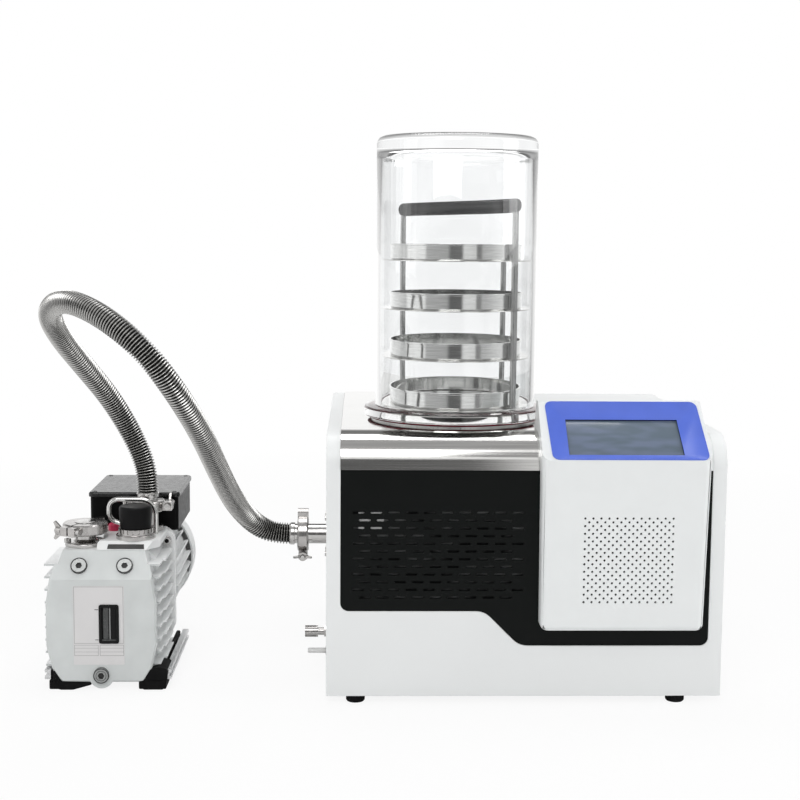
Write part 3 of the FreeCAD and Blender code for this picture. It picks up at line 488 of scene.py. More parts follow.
hoseSetup = {
    "route": [  # metres, from the unit's port round to the pump's inlet
        (-0.128, -0.102, 0.215), (-0.154, -0.102, 0.215), (-0.180, -0.107, 0.226),
        (-0.201, -0.123, 0.249), (-0.217, -0.160, 0.282), (-0.230, -0.222, 0.332),
        (-0.246, -0.284, 0.392), (-0.272, -0.332, 0.452), (-0.314, -0.351, 0.514),
        (-0.374, -0.329, 0.558), (-0.432, -0.280, 0.575), (-0.466, -0.220, 0.553),
        (-0.460, -0.168, 0.515), (-0.434, -0.122, 0.468), (-0.404, -0.088, 0.420),
        (-0.378, -0.071, 0.370), (-0.358, -0.068, 0.325), (-0.351, -0.070, 0.292),
        (-0.351, -0.070, 0.266),
    ],
    "crest": 16.3,  # mm
    "root": 13.2,
    "doublings": 8,  # 256 folds
    "roundSteps": 34,
    "collar": [(13.0, -1.5), (17.0, -1.5), (17.0, 4.5), (15.0, 6.5), (13.0, 6.5)],
    "collarCorners": [(17.0, -1.5, 0.6), (17.0, 4.5, 0.6)],
}


def routeLine(points):
    # the smooth line through the route, read back as close points
    curve = bpy.data.curves.new("routeLine", "CURVE")
    curve.dimensions = "3D"
    curve.resolution_u = 20
    spline = curve.splines.new("NURBS")
    spline.points.add(len(points) - 1)
    for target, point in zip(spline.points, points):
        target.co = (*point, 1)
    spline.order_u = 3
    spline.use_endpoint_u = True
    holder = inScene("routeLine", curve)
    line = bpy.data.meshes.new_from_object(holder)
    found = [v.co.copy() for v in line.vertices]
    bpy.data.objects.remove(holder)
    bpy.data.meshes.remove(line)
    return found


def carriedFrames(points):
    # distance, point and an unturning side direction at each point of a line
    rows = []
    distance = 0.0
    side = None
    for i, point in enumerate(points):
        ahead = points[min(i + 1, len(points) - 1)] - points[max(i - 1, 0)]
        ahead.normalize()
        if side is None:
            side = ahead.orthogonal()
        side = (side - ahead * side.dot(ahead)).normalized()
        if i:
            distance += (point - points[i - 1]).length
        rows.append((distance, point, side, ahead.cross(side)))
    return rows


def bendAlong(bm, rows):
    # moves what runs up Z onto the line
    marks = [row[0] for row in rows]
    for vert in bm.verts:
        height = min(max(vert.co.z, 0.0), marks[-1])
        i = min(max(bisect_right(marks, height) - 1, 0), len(rows) - 2)
        share = (height - marks[i]) / max(marks[i + 1] - marks[i], 1e-9)
        middle = rows[i][1].lerp(rows[i + 1][1], share)
        side = rows[i][2].lerp(rows[i + 1][2], share).normalized()
        other = rows[i][3].lerp(rows[i + 1][3], share).normalized()
        vert.co = middle + side * vert.co.x + other * vert.co.y


def hoseFinish():
    made = Finish("bellowsSteel", (0.66, 0.655, 0.64), 0.2, metallic=1.0)
    depth = made.node("ShaderNodeAttribute", attribute_name="foldDepth").outputs["Fac"]
    # the grooves are painted dark by their fold depth: painted shade between the folds
    made.vary(depth, (0.012, 0.012, 0.011), (0.60, 0.595, 0.58), 0.3, 1.0)
    made.polish(made.grain(150), 0.22, 0.34)
    made.emboss(made.grain(700, detail=2), 0.01)
    return made.material


def makeHose(setup):
    points = routeLine(setup["route"])
    rows = carriedFrames(points)
    length = rows[-1][0]
    pitch = length / 2 ** setup["doublings"]
    root, crest = setup["root"] / 1000, setup["crest"] / 1000
    shoulder = crest - 0.0006
    outline = [(root, 0.0), (root, 0.16), (shoulder, 0.34), (crest, 0.5), (shoulder, 0.66),
               (root, 0.84), (root, 1.0)]
    bm = bmesh.new()
    ring = [bm.verts.new((radius, 0, share * pitch)) for radius, share in outline]
    spinRound(bm, ring + [bm.edges.new(pair) for pair in zip(ring, ring[1:])], setup["roundSteps"])
    for step in range(setup["doublings"]):
        more = bmesh.ops.duplicate(bm, geom=bm.verts[:] + bm.edges[:] + bm.faces[:])["geom"]
        bmesh.ops.translate(bm, vec=(0, 0, pitch * 2 ** step), verts=vertsIn(more))
    bmesh.ops.remove_doubles(bm, verts=bm.verts, dist=samePlace)
    faceOut(bm)
    foldDepth = bm.verts.layers.float.new("foldDepth")
    for vert in bm.verts:
        vert[foldDepth] = (math.hypot(vert.co.x, vert.co.y) - root) / (crest - root)
    bendAlong(bm, rows)
    hose = addPiece("bellowsHose", bm, hoseFinish(), "vacuum_hose", sharp=80)
    for name, i, j in (("hoseCollarPort", 0, 6), ("hoseCollarInlet", -1, -7)):
        bm = turned(setup["collar"], 48, setup["collarCorners"])
        stand(bm, points[i], (points[j] - points[i]).normalized())
        addPiece(name, bm, fittingSteel, slot="polished_steel")
    print("hose line %.3f m, fold pitch %.2f mm" % (length, pitch * 1000))


makeHose(hoseSetup)
print("hose made")


# ---- cabinet ----

cabinetSetup = {
    "frameEdge": 1.3,  # mm
    "panelEdge": 0.4,
    "grilleEdge": 0.25,
    "feetEdge": 0.5,
    "slotRounding": 1.65,
    "slotSteps": 3,
    "plainSides": (12, 50),  # no slots within these of the panel's left and right
    "plainEnds": 30,
}


def isAcross(edge, axis):
    # true for an edge that runs along the axis
    run = edge.verts[1].co - edge.verts[0].co
    return run.length > samePlace and abs(run.normalized()[axis]) > 0.999


def innerCorners(bm, axis):
    # the hollow right-angled edges that run along the axis
    return [e for e in bm.edges if isAcross(e, axis) and len(e.link_faces) == 2
            and not e.is_convex and abs(e.calc_face_angle(0) - math.pi / 2) < 0.05]


def roundSlots(bm):
    # turns the square ends of the front slots into half rounds
    low, high, _ = place("front_grille_panel")
    left, right = (side / 1000 for side in cabinetSetup["plainSides"])
    ends = cabinetSetup["plainEnds"] / 1000
    corners = [e for e in innerCorners(bm, 1) if low.x + left < e.verts[0].co.x < high.x - right
               and low.z + ends < e.verts[0].co.z < high.z - ends]
    bevelEdges(bm, corners, cabinetSetup["slotRounding"], cabinetSetup["slotSteps"])
    print("slot corners rounded", len(corners))


softCopy("cabinet_frame", whiteEnamel, cabinetSetup["frameEdge"], 3)
copyRows((panel, whiteEnamel, cabinetSetup["panelEdge"], 2)
         for panel in ("top_cover", "left_side_panel", "right_side_panel", "rear_panel"))
softCopy("front_grille_panel", blackEnamel, cabinetSetup["grilleEdge"], 1, roundSlots, above=50)
softCopy("unit_feet", blackRubber, cabinetSetup["feetEdge"])


# ---- filter mat behind the front slots ----

matSetup = {
    "sides": (26, 318),  # mm from the cabinet's left
    "depths": (7.0, 9.0),  # behind the panel's face
    "heights": (140, 292),
    "edge": 0.8,
}

innerBlockSetup = {  # the pale connector housing that shows through the upper left slots
    "sides": (45, 81),
    "depths": (3.7, 6.4),
    "heights": (252, 276),
    "edge": 0.4,
}


def matFinish():
    made = Finish("filterMat", (0.05, 0.052, 0.052), 0.9)
    spread = made.grain(14, (1, 1, 2.4))
    made.vary(spread, (0.012, 0.013, 0.013), (0.36, 0.37, 0.37), 0.45, 0.62)
    made.emboss(made.grain(900), 0.3)
    return made.material


def behindSlots(setup):
    face = place("front_grille_panel")[0].y
    left = place("cabinet_frame")[0].x
    bm = bmesh.new()
    block(bm, *((left + x / 1000, face + y / 1000, z / 1000)
                for x, y, z in zip(setup["sides"], setup["depths"], setup["heights"])))
    roundEdges(bm, setup["edge"])
    return bm


addPiece("filterMat", behindSlots(matSetup), matFinish(), slot="black_plastic")
evenNormals(addPiece("innerBlock", behindSlots(innerBlockSetup), paleHousing, slot="white_plastic"))


# ---- steel top with its rolled front ----

steelTopSetup = {
    "bend": 45.0,  # mm
    "thick": 2.0,
    "mouth": 113.0,
    "lowEdge": 337.0,
    "bendSteps": 18,
    "mouthSteps": 96,
}


def makeSteelTop(setup):
    low, high, _ = place("steel_top_plate")
    axis = place("bell_chamber")[2]
    bend, floor = setup["bend"] / 1000, setup["lowEdge"] / 1000
    frontEdge = low.y + bend
    bm = bmesh.new()
    rim = bmesh.ops.create_circle(bm, segments=setup["mouthSteps"], radius=setup["mouth"] / 1000)["verts"]
    bmesh.ops.translate(bm, vec=(axis.x, axis.y, high.z), verts=rim)
    outer = drawEdges(bm, bm.edges[:])

    def reachTo(away, lowSide, highSide):
        # how many times the way out fits before a side of the plate is met
        return (highSide if away > 0 else lowSide) / away if abs(away) > 1e-9 else 1e9

    for vert in outer:
        away = Vector((vert.co.x - axis.x, vert.co.y - axis.y))
        reach = min(reachTo(away.x, low.x - axis.x, high.x - axis.x),
                    reachTo(away.y, frontEdge - axis.y, high.y - axis.y))
        vert.co.x, vert.co.y = axis.x + away.x * reach, axis.y + away.y * reach
    for corner in ((low.x, frontEdge), (high.x, frontEdge), (low.x, high.y), (high.x, high.y)):
        nearest = min(outer, key=lambda v: math.hypot(v.co.x - corner[0], v.co.y - corner[1]))
        nearest.co.x, nearest.co.y = corner
    front, back = ([e for e in bm.edges if all(abs(v.co.y - y) < samePlace for v in e.verts)]
                   for y in (frontEdge, high.y))
    rolled = bmesh.ops.spin(bm, geom=front, cent=(0, frontEdge, high.z - bend), axis=(1, 0, 0),
                            angle=math.pi / 2, steps=setup["bendSteps"])["geom_last"]
    for edges in ([g for g in rolled if isinstance(g, bmesh.types.BMEdge)], back):
        for vert in drawEdges(bm, edges):
            vert.co.z = floor
    faceOut(bm)
    top = max(bm.faces, key=lambda f: f.calc_center_median().z)
    if top.normal.z < 0:
        bmesh.ops.reverse_faces(bm, faces=bm.faces)
    bmesh.ops.solidify(bm, geom=bm.faces[:], thickness=setup["thick"] / 1000)
    faceOut(bm)
    evenNormals(addPiece("steelTop", bm, brushedTop, "steel_top_plate", sharp=40))


makeSteelTop(steelTopSetup)
print("cabinet made")


# ---- control box, bezel and display ----

controlSetup = {
    "edge": 1.4,  # mm
    "kneeEdge": 5.0,
    "lipReach": 6.0,
    "lipGap": 2.2,
    "holeRounding": 1.58,
    "holeSteps": 3,
    "holeEdge": 4.5,  # longer edges aren't a hole's
    "holeSides": 40,  # no holes within this of the sides
    "holeHeights": (30, 175),
    "holeDepth": 4,
    "slopeRun": 69.0,
    "slopeClimb": 74.0,
}


def closeCorners(bm):
    # draws the two lips of each tall corner together
    near = place("control_box")[0].y + controlSetup["lipReach"] / 1000
    lips = [e for e in bm.edges if isAcross(e, 2) and e.calc_length() > 0.1 and len(e.link_faces) == 2
            and e.calc_face_angle(0) > 1.75 and e.verts[0].co.y < near]
    ends = list({v for e in lips for v in e.verts})
    bmesh.ops.remove_doubles(bm, verts=ends, dist=controlSetup["lipGap"] / 1000)
    print("corner lips closed", len(lips))


def roundHoles(bm):
    # makes the small vent holes round
    low, high, _ = place("control_box")
    sides, depth = controlSetup["holeSides"] / 1000, controlSetup["holeDepth"] / 1000
    under, over = (low.z + height / 1000 for height in controlSetup["holeHeights"])
    corners = [e for e in innerCorners(bm, 1) if e.calc_length() < controlSetup["holeEdge"] / 1000
               and low.x + sides < e.verts[0].co.x < high.x - sides
               and under < e.verts[0].co.z < over and e.verts[0].co.y < low.y + depth]
    bevelEdges(bm, corners, controlSetup["holeRounding"], controlSetup["holeSteps"])
    print("hole corners rounded", len(corners))


def softenBox(bm):
    # tall corners drawn together, holes made round, then the knee below the bezel broken wider
    closeCorners(bm)
    roundHoles(bm)
    low, high, _ = place("control_box")
    knee = high.z - controlSetup["slopeClimb"] / 1000

    def isKnee(edge):
        return (isAcross(edge, 0) and edge.is_convex and edge.calc_length() > 0.1
                and all(abs(v.co.y - low.y) < 0.0005 and abs(v.co.z - knee) < 0.0005 for v in edge.verts))

    roundEdges(bm, controlSetup["kneeEdge"], 4, 20, isKnee)


softCopy("control_box", whiteMoulding, controlSetup["edge"], 3, softenBox, above=50)


slopeUp = Vector((0, controlSetup["slopeRun"], controlSetup["slopeClimb"])).normalized()
slopeOut = Vector((1, 0, 0)).cross(slopeUp)


def onSlope(x, rise, lift=0.0):
    # a point of the control box's slope, in mm from the cabinet's left, up the slope and off it
    boxLow, boxHigh, _ = place("control_box")
    knee = Vector((0, boxLow.y, boxHigh.z - controlSetup["slopeClimb"] / 1000))
    left = place("cabinet_frame")[0].x
    return Vector((left + x / 1000, 0, 0)) + knee + slopeUp * rise / 1000 + slopeOut * lift / 1000


def grown(outline, reach):
    # a four-cornered outline on the slope, drawn out all round
    middleX, middleRise = (sum(values) / 4 for values in zip(*outline))
    return [(x + (reach if x > middleX else -reach), rise + (reach if rise > middleRise else -reach))
            for x, rise in outline]


bezelSetup = {
    "outline": [(313.5, 0.8), (532.5, 0.8), (524.0, 100.6), (308.0, 100.6)],  # mm along and up the slope
    "window": [(338.0, 14.0), (499.0, 14.0), (495.0, 74.0), (337.0, 74.0)],
    "pocket": [(313.0, 2.0), (531.0, 2.0), (525.0, 99.0), (309.5, 99.0)],
    "corner": 10.0,
    "cornerSteps": 7,
    "raised": 1.6,
    "skirt": 2.2,
    "edge": 0.7,
    "merge": 0.01,
    "bedGrow": 1.0,
    "bedUnder": -3.0,
    "bedLift": -0.2,
    "bedThick": 0.8,
    "windowLift": -6.5,
    "screenLift": -9.0,
    "screenGrow": 2.5,
    "screenThick": 1.5,
    "screenEdge": 0.3,
}


def makeBezel(setup):
    bm = bmesh.new()
    bm.faces.new([bm.verts.new(onSlope(x, rise, setup["raised"])) for x, rise in setup["outline"]])
    bmesh.ops.bevel(bm, geom=bm.verts[:], offset=setup["corner"] / 1000, segments=setup["cornerSteps"],
                    profile=0.5, affect="VERTICES", material=-1, clamp_overlap=True)
    merge = setup["merge"] / 1000
    rimEdges = bm.edges[:]
    bmesh.ops.delete(bm, geom=bm.faces[:], context="FACES_ONLY")
    window = [onSlope(x, rise, setup["windowLift"]) for x, rise in setup["window"]]
    corners = [onSlope(x, rise, setup["raised"]) for x, rise in setup["outline"]]
    for vert in drawEdges(bm, rimEdges):  # each rounded corner gathers into one window corner
        vert.co = window[min(range(4), key=lambda i: (vert.co - corners[i]).length)]
    bmesh.ops.translate(bm, vec=-slopeOut * setup["skirt"] / 1000, verts=drawEdges(bm, rimEdges))
    bmesh.ops.remove_doubles(bm, verts=bm.verts, dist=merge)
    mouth = [e for e in bm.edges if len(e.link_faces) == 1
             and all(min((v.co - w).length for w in window) < merge for v in e.verts)]
    walls = drawEdges(bm, mouth)
    bmesh.ops.translate(bm, vec=slopeOut * (setup["screenLift"] - setup["windowLift"]) / 1000, verts=walls)
    faceOut(bm)
    facet = max(bm.faces, key=lambda f: f.calc_area())
    if facet.normal.dot(slopeOut) < 0:
        bmesh.ops.reverse_faces(bm, faces=bm.faces)
    for face in bm.faces:  # the walls of the recess are painted black: painted shade where the screen sits below the bezel
        if sum(1 for v in face.verts if v in walls) == 2:
            face.material_index = 1
    roundEdges(bm, setup["edge"], 3, 40)
    rim = evenNormals(addPiece("bezelRim", bm, bluePlastic, "bezel", sharp=32))
    rim.data.materials.append(blackPlastic)


def screenFinish():
    made = Finish("displayGlass", (0.135, 0.175, 0.235), 0.2, coat=0.5)
    made.vary(made.grain(22, (1, 3.5, 3.5), detail=1), (0.115, 0.155, 0.20), (0.15, 0.19, 0.27), 0.4, 0.62)
    made.polish(made.grain(240), 0.16, 0.26)
    made.set({"Coat Roughness": 0.05})
    return made.material


def makeScreen(setup):
    bm = bmesh.new()
    under = setup["screenLift"] - setup["screenThick"]
    bm.faces.new([bm.verts.new(onSlope(x, rise, under))
                  for x, rise in grown(setup["window"], setup["screenGrow"])])
    drawFace(bm, slopeOut * setup["screenThick"] / 1000)
    roundEdges(bm, setup["screenEdge"])
    addPiece("displayPane", bm, screenFinish(), "touch_screen")


def makeBezelBed(setup):
    # the moulding's ledge round the window, seen at the bezel's rounded corners
    rings = [[onSlope(x, rise, setup["bedLift"]) for x, rise in outline]
             for outline in (grown(setup["pocket"], setup["bedGrow"]),
                             grown(setup["outline"], setup["bedUnder"]))]
    addPiece("bezelBed", framed(*rings, setup["bedThick"]), whiteMoulding, slot="white_plastic")


makeBezel(bezelSetup)
makeBezelBed(bezelSetup)
makeScreen(bezelSetup)
print("control box made")


# ---- drying chamber ----

bellSetup = {
    "radius": 120.0,  # mm
    "wall": 6.0,
    "flange": 137.0,
    "flangeHigh": 14.0,
    "height": 417.0,
    "top": 25.0,
    "steps": 128,
    "shoulder": [(0, 14), (1.2, 9), (4, 5.2), (9, 3), (40, 1)],  # in from the side, down from the top
    "innerShoulder": [(60, 0.5), (105, 2), (110.5, 5.5), (114, 13)],  # radius, down from the inside
}

gripSetup = {
    "half": 111.0,  # mm
    "radius": 10.5,
    "endRounding": 5.5,
}


def makeBell(setup):
    low, _, middle = place("bell_chamber")
    outer, flange, rim, height = setup["radius"], setup["flange"], setup["flangeHigh"], setup["height"]
    under = height - setup["top"]
    profile = [(0, under)] + [(radius, under - drop) for radius, drop in setup["innerShoulder"]]
    profile += [(outer - setup["wall"], 0), (flange, 0), (flange, rim), (outer, rim + 0.5)]
    profile += [(outer - inward, height - drop) for inward, drop in setup["shoulder"]] + [(0, height)]
    bm = turned(profile, setup["steps"], [(flange, 0, 1.2), (flange, rim, 3.0), (outer, rim + 0.5, 2.5)])
    stand(bm, (middle.x, middle.y, low.z))
    addPiece("bellGlass", bm, acrylic, "bell_chamber", sharp=50)


def makeHandleBar(setup):
    low, high, middle = place("rack_handle")
    half, radius, rounding = setup["half"], setup["radius"], setup["endRounding"]
    bm = turned([(0, -half), (radius, -half), (radius, half), (0, half)], 48,
                [(radius, -half, rounding), (radius, half, rounding)])
    stand(bm, middle, Vector((low.x - high.x, high.y - low.y, 0)).normalized())
    evenNormals(addPiece("rackGrip", bm, glossBlack, "rack_handle"))


makeBell(bellSetup)
copyRows([("cold_trap", brushedRound, 0.8, 3),
          ("chamber_seal", redSilicone, 0.8, 3),
          ("rack_base", polishedSteel, 0.4, 2),
          ("rack_shelves", polishedSteel, 0.3, 2),
          ("rack_rods", rodSteel, 0.5, 2)])
copyRows(("pan_%d" % level, panSteel, 0.3, 2) for level in range(1, 5))
makeHandleBar(gripSetup)
print("chamber made")


# ---- vacuum fittings ----

gasketSetup = {
    "outline": [(4.3, 0), (9.6, 0), (9.6, 1.6), (7.2, 2.4), (4.3, 2.4)],  # mm, radius and height
    "corners": [(9.6, 1.6, 0.3)],
    "sunk": 1.2,
}


def makeGasket(setup):
    middle = place("drain_nipple")[2]
    wall = place("cabinet_frame")[0].x - setup["sunk"] / 1000
    bm = turned(setup["outline"], 48, setup["corners"])
    stand(bm, Vector((wall, middle.y, middle.z)), (-1, 0, 0))
    addPiece("drainGasket", bm, blackRubber, slot="black_rubber")


copyRows((node, satinNickel, 0.7, 3)
         for node in ("vacuum_clamps", "port_wing_nut", "inlet_wing_nut", "exhaust_wing_nut"))
copyRows((node, fittingSteel, 0.4, 2)
         for node in ("clamp_bolts", "port_flange", "hose_flanges", "flange_screws"))
copyRows([("vent_valve_body", satinNickel, 0.4, 2),
          ("vent_valve_knob", satinNickel, 0.8, 3),
          ("drain_nipple", whiteSpigot, 0.4, 2)])
makeGasket(gasketSetup)
print("fittings made")


# ---- pump ----

caseSetup = {  # mm
    "plainHalf": 50.0,  # nothing within this of the middle moves
    "rightTrim": 4.0,
    "plateDepth": 15.0,
    "sumpHeight": 45.0,
    "sumpDrop": 3.0,
    "footSetback": 4.0,
    "footShift": 3.5,
}


def shapeCase(bm):
    # the casting's right flank drawn in a little and its sump let down
    low, high, middle = place("oil_case")
    plain = caseSetup["plainHalf"] / 1000
    reach = (high.x - low.x) / 2 - plain
    for vert in bm.verts:
        past = vert.co.x - middle.x - plain
        if past > 0:
            vert.co.x -= caseSetup["rightTrim"] / 1000 * past / reach
    behind = low.y + caseSetup["plateDepth"] / 1000
    for face in bm.faces:  # the fins and roof behind the front plate take the lit copy of the paint, lighter than the front: painted light
        if face.calc_center_median().y > behind and face.normal.y > -0.3:
            face.material_index = 1
    dropSump(bm)


def dropSump(bm):
    height = caseSetup["sumpHeight"] / 1000
    for vert in bm.verts:
        if vert.co.z < height:
            vert.co.z -= caseSetup["sumpDrop"] / 1000 * (1 - vert.co.z / height)


def drawInFeet(bm):
    low, _, middle = place("pump_feet")
    for vert in bm.verts:
        vert.co.x += (-1 if vert.co.x > middle.x else 1) * caseSetup["footShift"] / 1000
        if vert.co.y < low.y + 0.001:
            vert.co.y += caseSetup["footSetback"] / 1000


case = softCopy("oil_case", shadedCastPaint, 2.2, 4, shapeCase)
case.data.materials.append(litCastPaint)
copyRows([
    ("pump_body", litCastPaint, 0.8, 2),
    ("motor_frame", litCastPaint, 0.8, 2),
    ("motor_fan_cover", litCastPaint, 0.6, 2),
    ("oil_plugs", plugSteel, 0.6, 2, dropSump),
    ("exhaust_port", fittingSteel, 0.5, 2),
    ("exhaust_cap", fittingSteel, 0.6, 3),
    ("inlet_port", satinNickel, 0.5, 2),
    ("carry_handle", polishedSteel, 0.3, 1),
    ("gas_ballast_seat", satinNickel, 0.6, 2),
    ("gas_ballast_knob", blackPlastic, 1.6, 4),
    ("red_plug", redCap, 0.8, 3),
    ("terminal_box", boxBlack, 0.8, 2),
    ("terminal_lid", lidBlack, 0.8, 3),
    ("pump_base", plainAluminium, 0.5, 2),
    ("pump_feet", blackRubber, 3.0, 4, drawInFeet)])


def atPump(x, y, z):
    # mm from the middle of the oil case's front, at bench height
    low, _, middle = place("oil_case")
    return Vector((middle.x + x / 1000, low.y + y / 1000, z / 1000))


labelSetup = {  # left, right and heights in mm
    "plate": (-41.5, 32.0, 38.5, 155.5),
    "lift": 0.4,
    "corner": 1.5,
    "windowInset": 1.0,  # how far the plate laps over the sight glass's frame
    "frames": [(-40.5, 31.0, 70.0, 154.5), (-40.5, -5.6, 51.8, 68.0), (-3.6, 31.0, 51.8, 68.0)],
    "frameLine": 0.6,
    "rows": [(-40.5, -5.6, 62.9), (-40.5, -5.6, 57.3), (-3.6, 31.0, 62.9), (-3.6, 31.0, 57.3)],
    "rowLine": 0.5,
    "ticks": [(-10.6, -5.2, 120.4), (-10.0, -5.2, 75.6)],
    "tickHalf": 0.45,
    "lineThick": 0.12,
    "tickThick": 0.14,
    "lineEdge": 0.05,
}


def fourCorners(left, right, low, high):
    return ((left, low), (right, low), (right, high), (left, high))


def flatOnFront(name, spans, finish, thick):
    # thin bars lying on the label
    bm = bmesh.new()
    lift = labelSetup["lift"]
    for left, right, low, high in spans:
        block(bm, atPump(left, -lift - thick, low), atPump(right, -lift, high))
    roundEdges(bm, labelSetup["lineEdge"], 1)
    addPiece(name, bm, finish, slot="white_plastic")


def makeLabel(setup):
    outer = [atPump(x, -setup["lift"], z) for x, z in fourCorners(*setup["plate"])]
    low, high, _ = place("sight_glass")
    inset = setup["windowInset"] / 1000
    inner = [Vector((x, outer[0].y, z)) for x, z in fourCorners(
        low.x + inset, high.x - inset, low.z + inset, high.z - inset)]
    bm = framed(outer, inner, setup["lift"])
    corners = [e for e in bm.edges if isAcross(e, 1)
               and min((e.verts[0].co - c).length for c in outer) < 0.001]
    bevelEdges(bm, corners, setup["corner"], 4)
    addPiece("labelPlate", bm, labelFilm, slot="white_plastic")
    line = setup["frameLine"]
    bars = []
    for left, right, low, high in setup["frames"]:
        bars += [(left, right, low, low + line), (left, right, high - line, high),
                 (left, left + line, low, high), (right - line, right, low, high)]
    bars += [(left, right, height, height + setup["rowLine"]) for left, right, height in setup["rows"]]
    flatOnFront("labelLines", bars, lineGrey, setup["lineThick"])
    half = setup["tickHalf"]
    ticks = [(left, right, height - half, height + half) for left, right, height in setup["ticks"]]
    flatOnFront("levelTicks", ticks, printAndShadeBlack, setup["tickThick"])


makeLabel(labelSetup)


sightSetup = {
    "corner": 3.5,  # mm
    "rim": 4.2,
    "lip": 0.2,
    "recess": 3.2,
    "proud": 0.1,  # in front of the node's own face
    "paneGap": 0.8,
    "panes": [  # mm from the middle, how thick and of what
        # the pale middle strip is a painted highlight, the glint on the tube
        ("sightPane", -8.6, -1.0, 0.6, paneGrey), ("sightGlint", 0.5, 2.1, 1.4, glintGrey),
        ("sightTube", 3.2, 9.8, 2.0, sightBlack)],
    "sill": (0.4, 2.2),  # behind the frame's face, and how high
    "edge": 0.5,
    "paneEdge": 0.3,
}


def makeSightGlass(setup):
    low, high, middle = place("sight_glass")
    rim, gap = setup["rim"] / 1000, setup["paneGap"] / 1000
    front = low.y - setup["proud"] / 1000
    floor = front + setup["recess"] / 1000
    bm = bmesh.new()
    block(bm, (low.x, front, low.z), high)
    bevelEdges(bm, [e for e in bm.edges if isAcross(e, 1)], setup["corner"], 6)
    face = min(bm.faces, key=lambda f: f.calc_center_median().y)
    for width in (rim, setup["lip"] / 1000):
        bmesh.ops.inset_region(bm, faces=[face], thickness=width)
    bmesh.ops.translate(bm, vec=(0, setup["recess"] / 1000, 0), verts=face.verts)
    faceOut(bm)
    roundEdges(bm, setup["edge"], 3, 50)
    evenNormals(addPiece("sightFrame", bm, sightBlack, "sight_glass"))
    for name, left, right, lift, finish in setup["panes"]:
        plate(name, (middle.x + left / 1000, floor - lift / 1000, low.z + rim + gap),
              (middle.x + right / 1000, floor + 0.0002, high.z - rim - gap),
              finish, setup["paneEdge"], "black_plastic")
    behind, tall = (size / 1000 for size in setup["sill"])
    plate("sightSill", (low.x + rim, front + behind, low.z + rim),
          (high.x - rim, floor, low.z + rim + tall), paneGrey, 0.4, "black_plastic")


makeSightGlass(sightSetup)


headSetup = {
    "steps": 36,
    "bore": 0.55,  # of the head's radius
    "hexagon": 0.52,
    "rounding": 0.6,  # mm
    "hexagonLift": 0.05,
    "hexagonThick": 0.1,
}

screwSetup = {  # mm from the middle of the oil case's front, at bench height
    "plugs": (-34.0, 32.0),
    "plugRise": 18.5,
    "crease": 40.0,  # below the case's top
    "slopeRun": 28.0,
    "plugHeight": 4.0,  # of the filler plugs' faces over the slope
    "plugRings": [("plugGap%d", -0.4, 10.3, 12.0, 0.5), ("plugSocket%d", -2.2, 0.1, 3.9, 0.2)],
    "drainPlug": (-2.0, -4.0, 22.6),
    "drainRings": [  # name, height over the plug's face, radii and thickness
        ("drainRim", -0.3, 10.0, 11.3, 0.4), ("drainGroove", -0.3, 6.9, 7.6, 0.4),
        ("drainSocket", -2.4, 0.1, 3.9, 0.2)],
    "flangeScrews": [(-62.0, 131.2, 195), (78.0, 131.2, 195)],
    "flangeHead": (7.0, 6.5),  # radius and height
    "exhaustScrews": [(-58.5, 55), (-8.5, 55)],
    "exhaustLift": 5,
    "exhaustHead": (5.0, 6.0),
    "lidInset": 9.0,
    "lidSunk": 1.2,
    "lidHead": (3.6, 1.9),
}


def ringPieces(rows, face, axis, number=None):
    # flat dark rings standing off a face: painted shade in the gaps, grooves and sockets round the plugs
    for name, lift, inner, outer, thick in rows:
        bm = turned([(inner, 0), (outer, 0), (outer, thick), (inner, thick)], 56)
        stand(bm, face + axis * lift / 1000, axis)
        addPiece(name if number is None else name % number, bm, printAndShadeBlack, slot="black_plastic")


def capScrews(name, centres, axis, size, finish=fittingSteel):
    # socket head screws, each socket a flat black hexagon on the flat head: painted shade for the hollow
    radius, height = size
    profile = [(0, 0), (radius, 0), (radius, height), (radius * headSetup["bore"], height), (0, height)]
    for i, centre in enumerate(centres):
        bm = turned(profile, headSetup["steps"], [(radius, height, headSetup["rounding"])])
        addPiece("%s%d" % (name, i), stand(bm, centre, axis), finish, slot="nickel")
        bm = bmesh.new()
        disc = bmesh.ops.create_circle(bm, cap_ends=True, segments=6,
                                       radius=radius * headSetup["hexagon"] / 1000)["verts"]
        bmesh.ops.translate(bm, vec=(0, 0, (height + headSetup["hexagonLift"]) / 1000), verts=disc)
        drawFace(bm, (0, 0, headSetup["hexagonThick"] / 1000))
        addPiece("%s%dSocket" % (name, i), stand(bm, centre, axis), blackPlastic, slot="black_plastic")


def makePumpScrews(setup):
    caseTop = place("oil_case")[1].z * 1000
    outward = Vector((0, -setup["crease"], setup["slopeRun"])).normalized()
    run = setup["plugRise"] * setup["slopeRun"] / (setup["crease"] + 1)
    for i, x in enumerate(setup["plugs"]):
        foot = atPump(x, run, caseTop - setup["crease"] + setup["plugRise"])
        ringPieces(setup["plugRings"], foot + outward * setup["plugHeight"] / 1000, outward, i)
    ringPieces(setup["drainRings"], atPump(*setup["drainPlug"]), Vector((0, -1, 0)))
    capScrews("flangeBolt", [atPump(*spot) for spot in setup["flangeScrews"]], (0, -1, 0),
              setup["flangeHead"])
    capScrews("exhaustBolt", [atPump(x, y, caseTop + setup["exhaustLift"])
                              for x, y in setup["exhaustScrews"]], (0, 0, 1), setup["exhaustHead"])


deckSetup = {
    "sides": (4.0, 58.0),  # mm
    "taper": 1.0,  # narrower at its upper edge
    "setback": 26,
    "under": 11,  # below the gas ballast's deck
    "slopes": (1.2, 9.5),  # from and to, up the slope
    "thick": 0.5,
    "edge": 0.15,
}


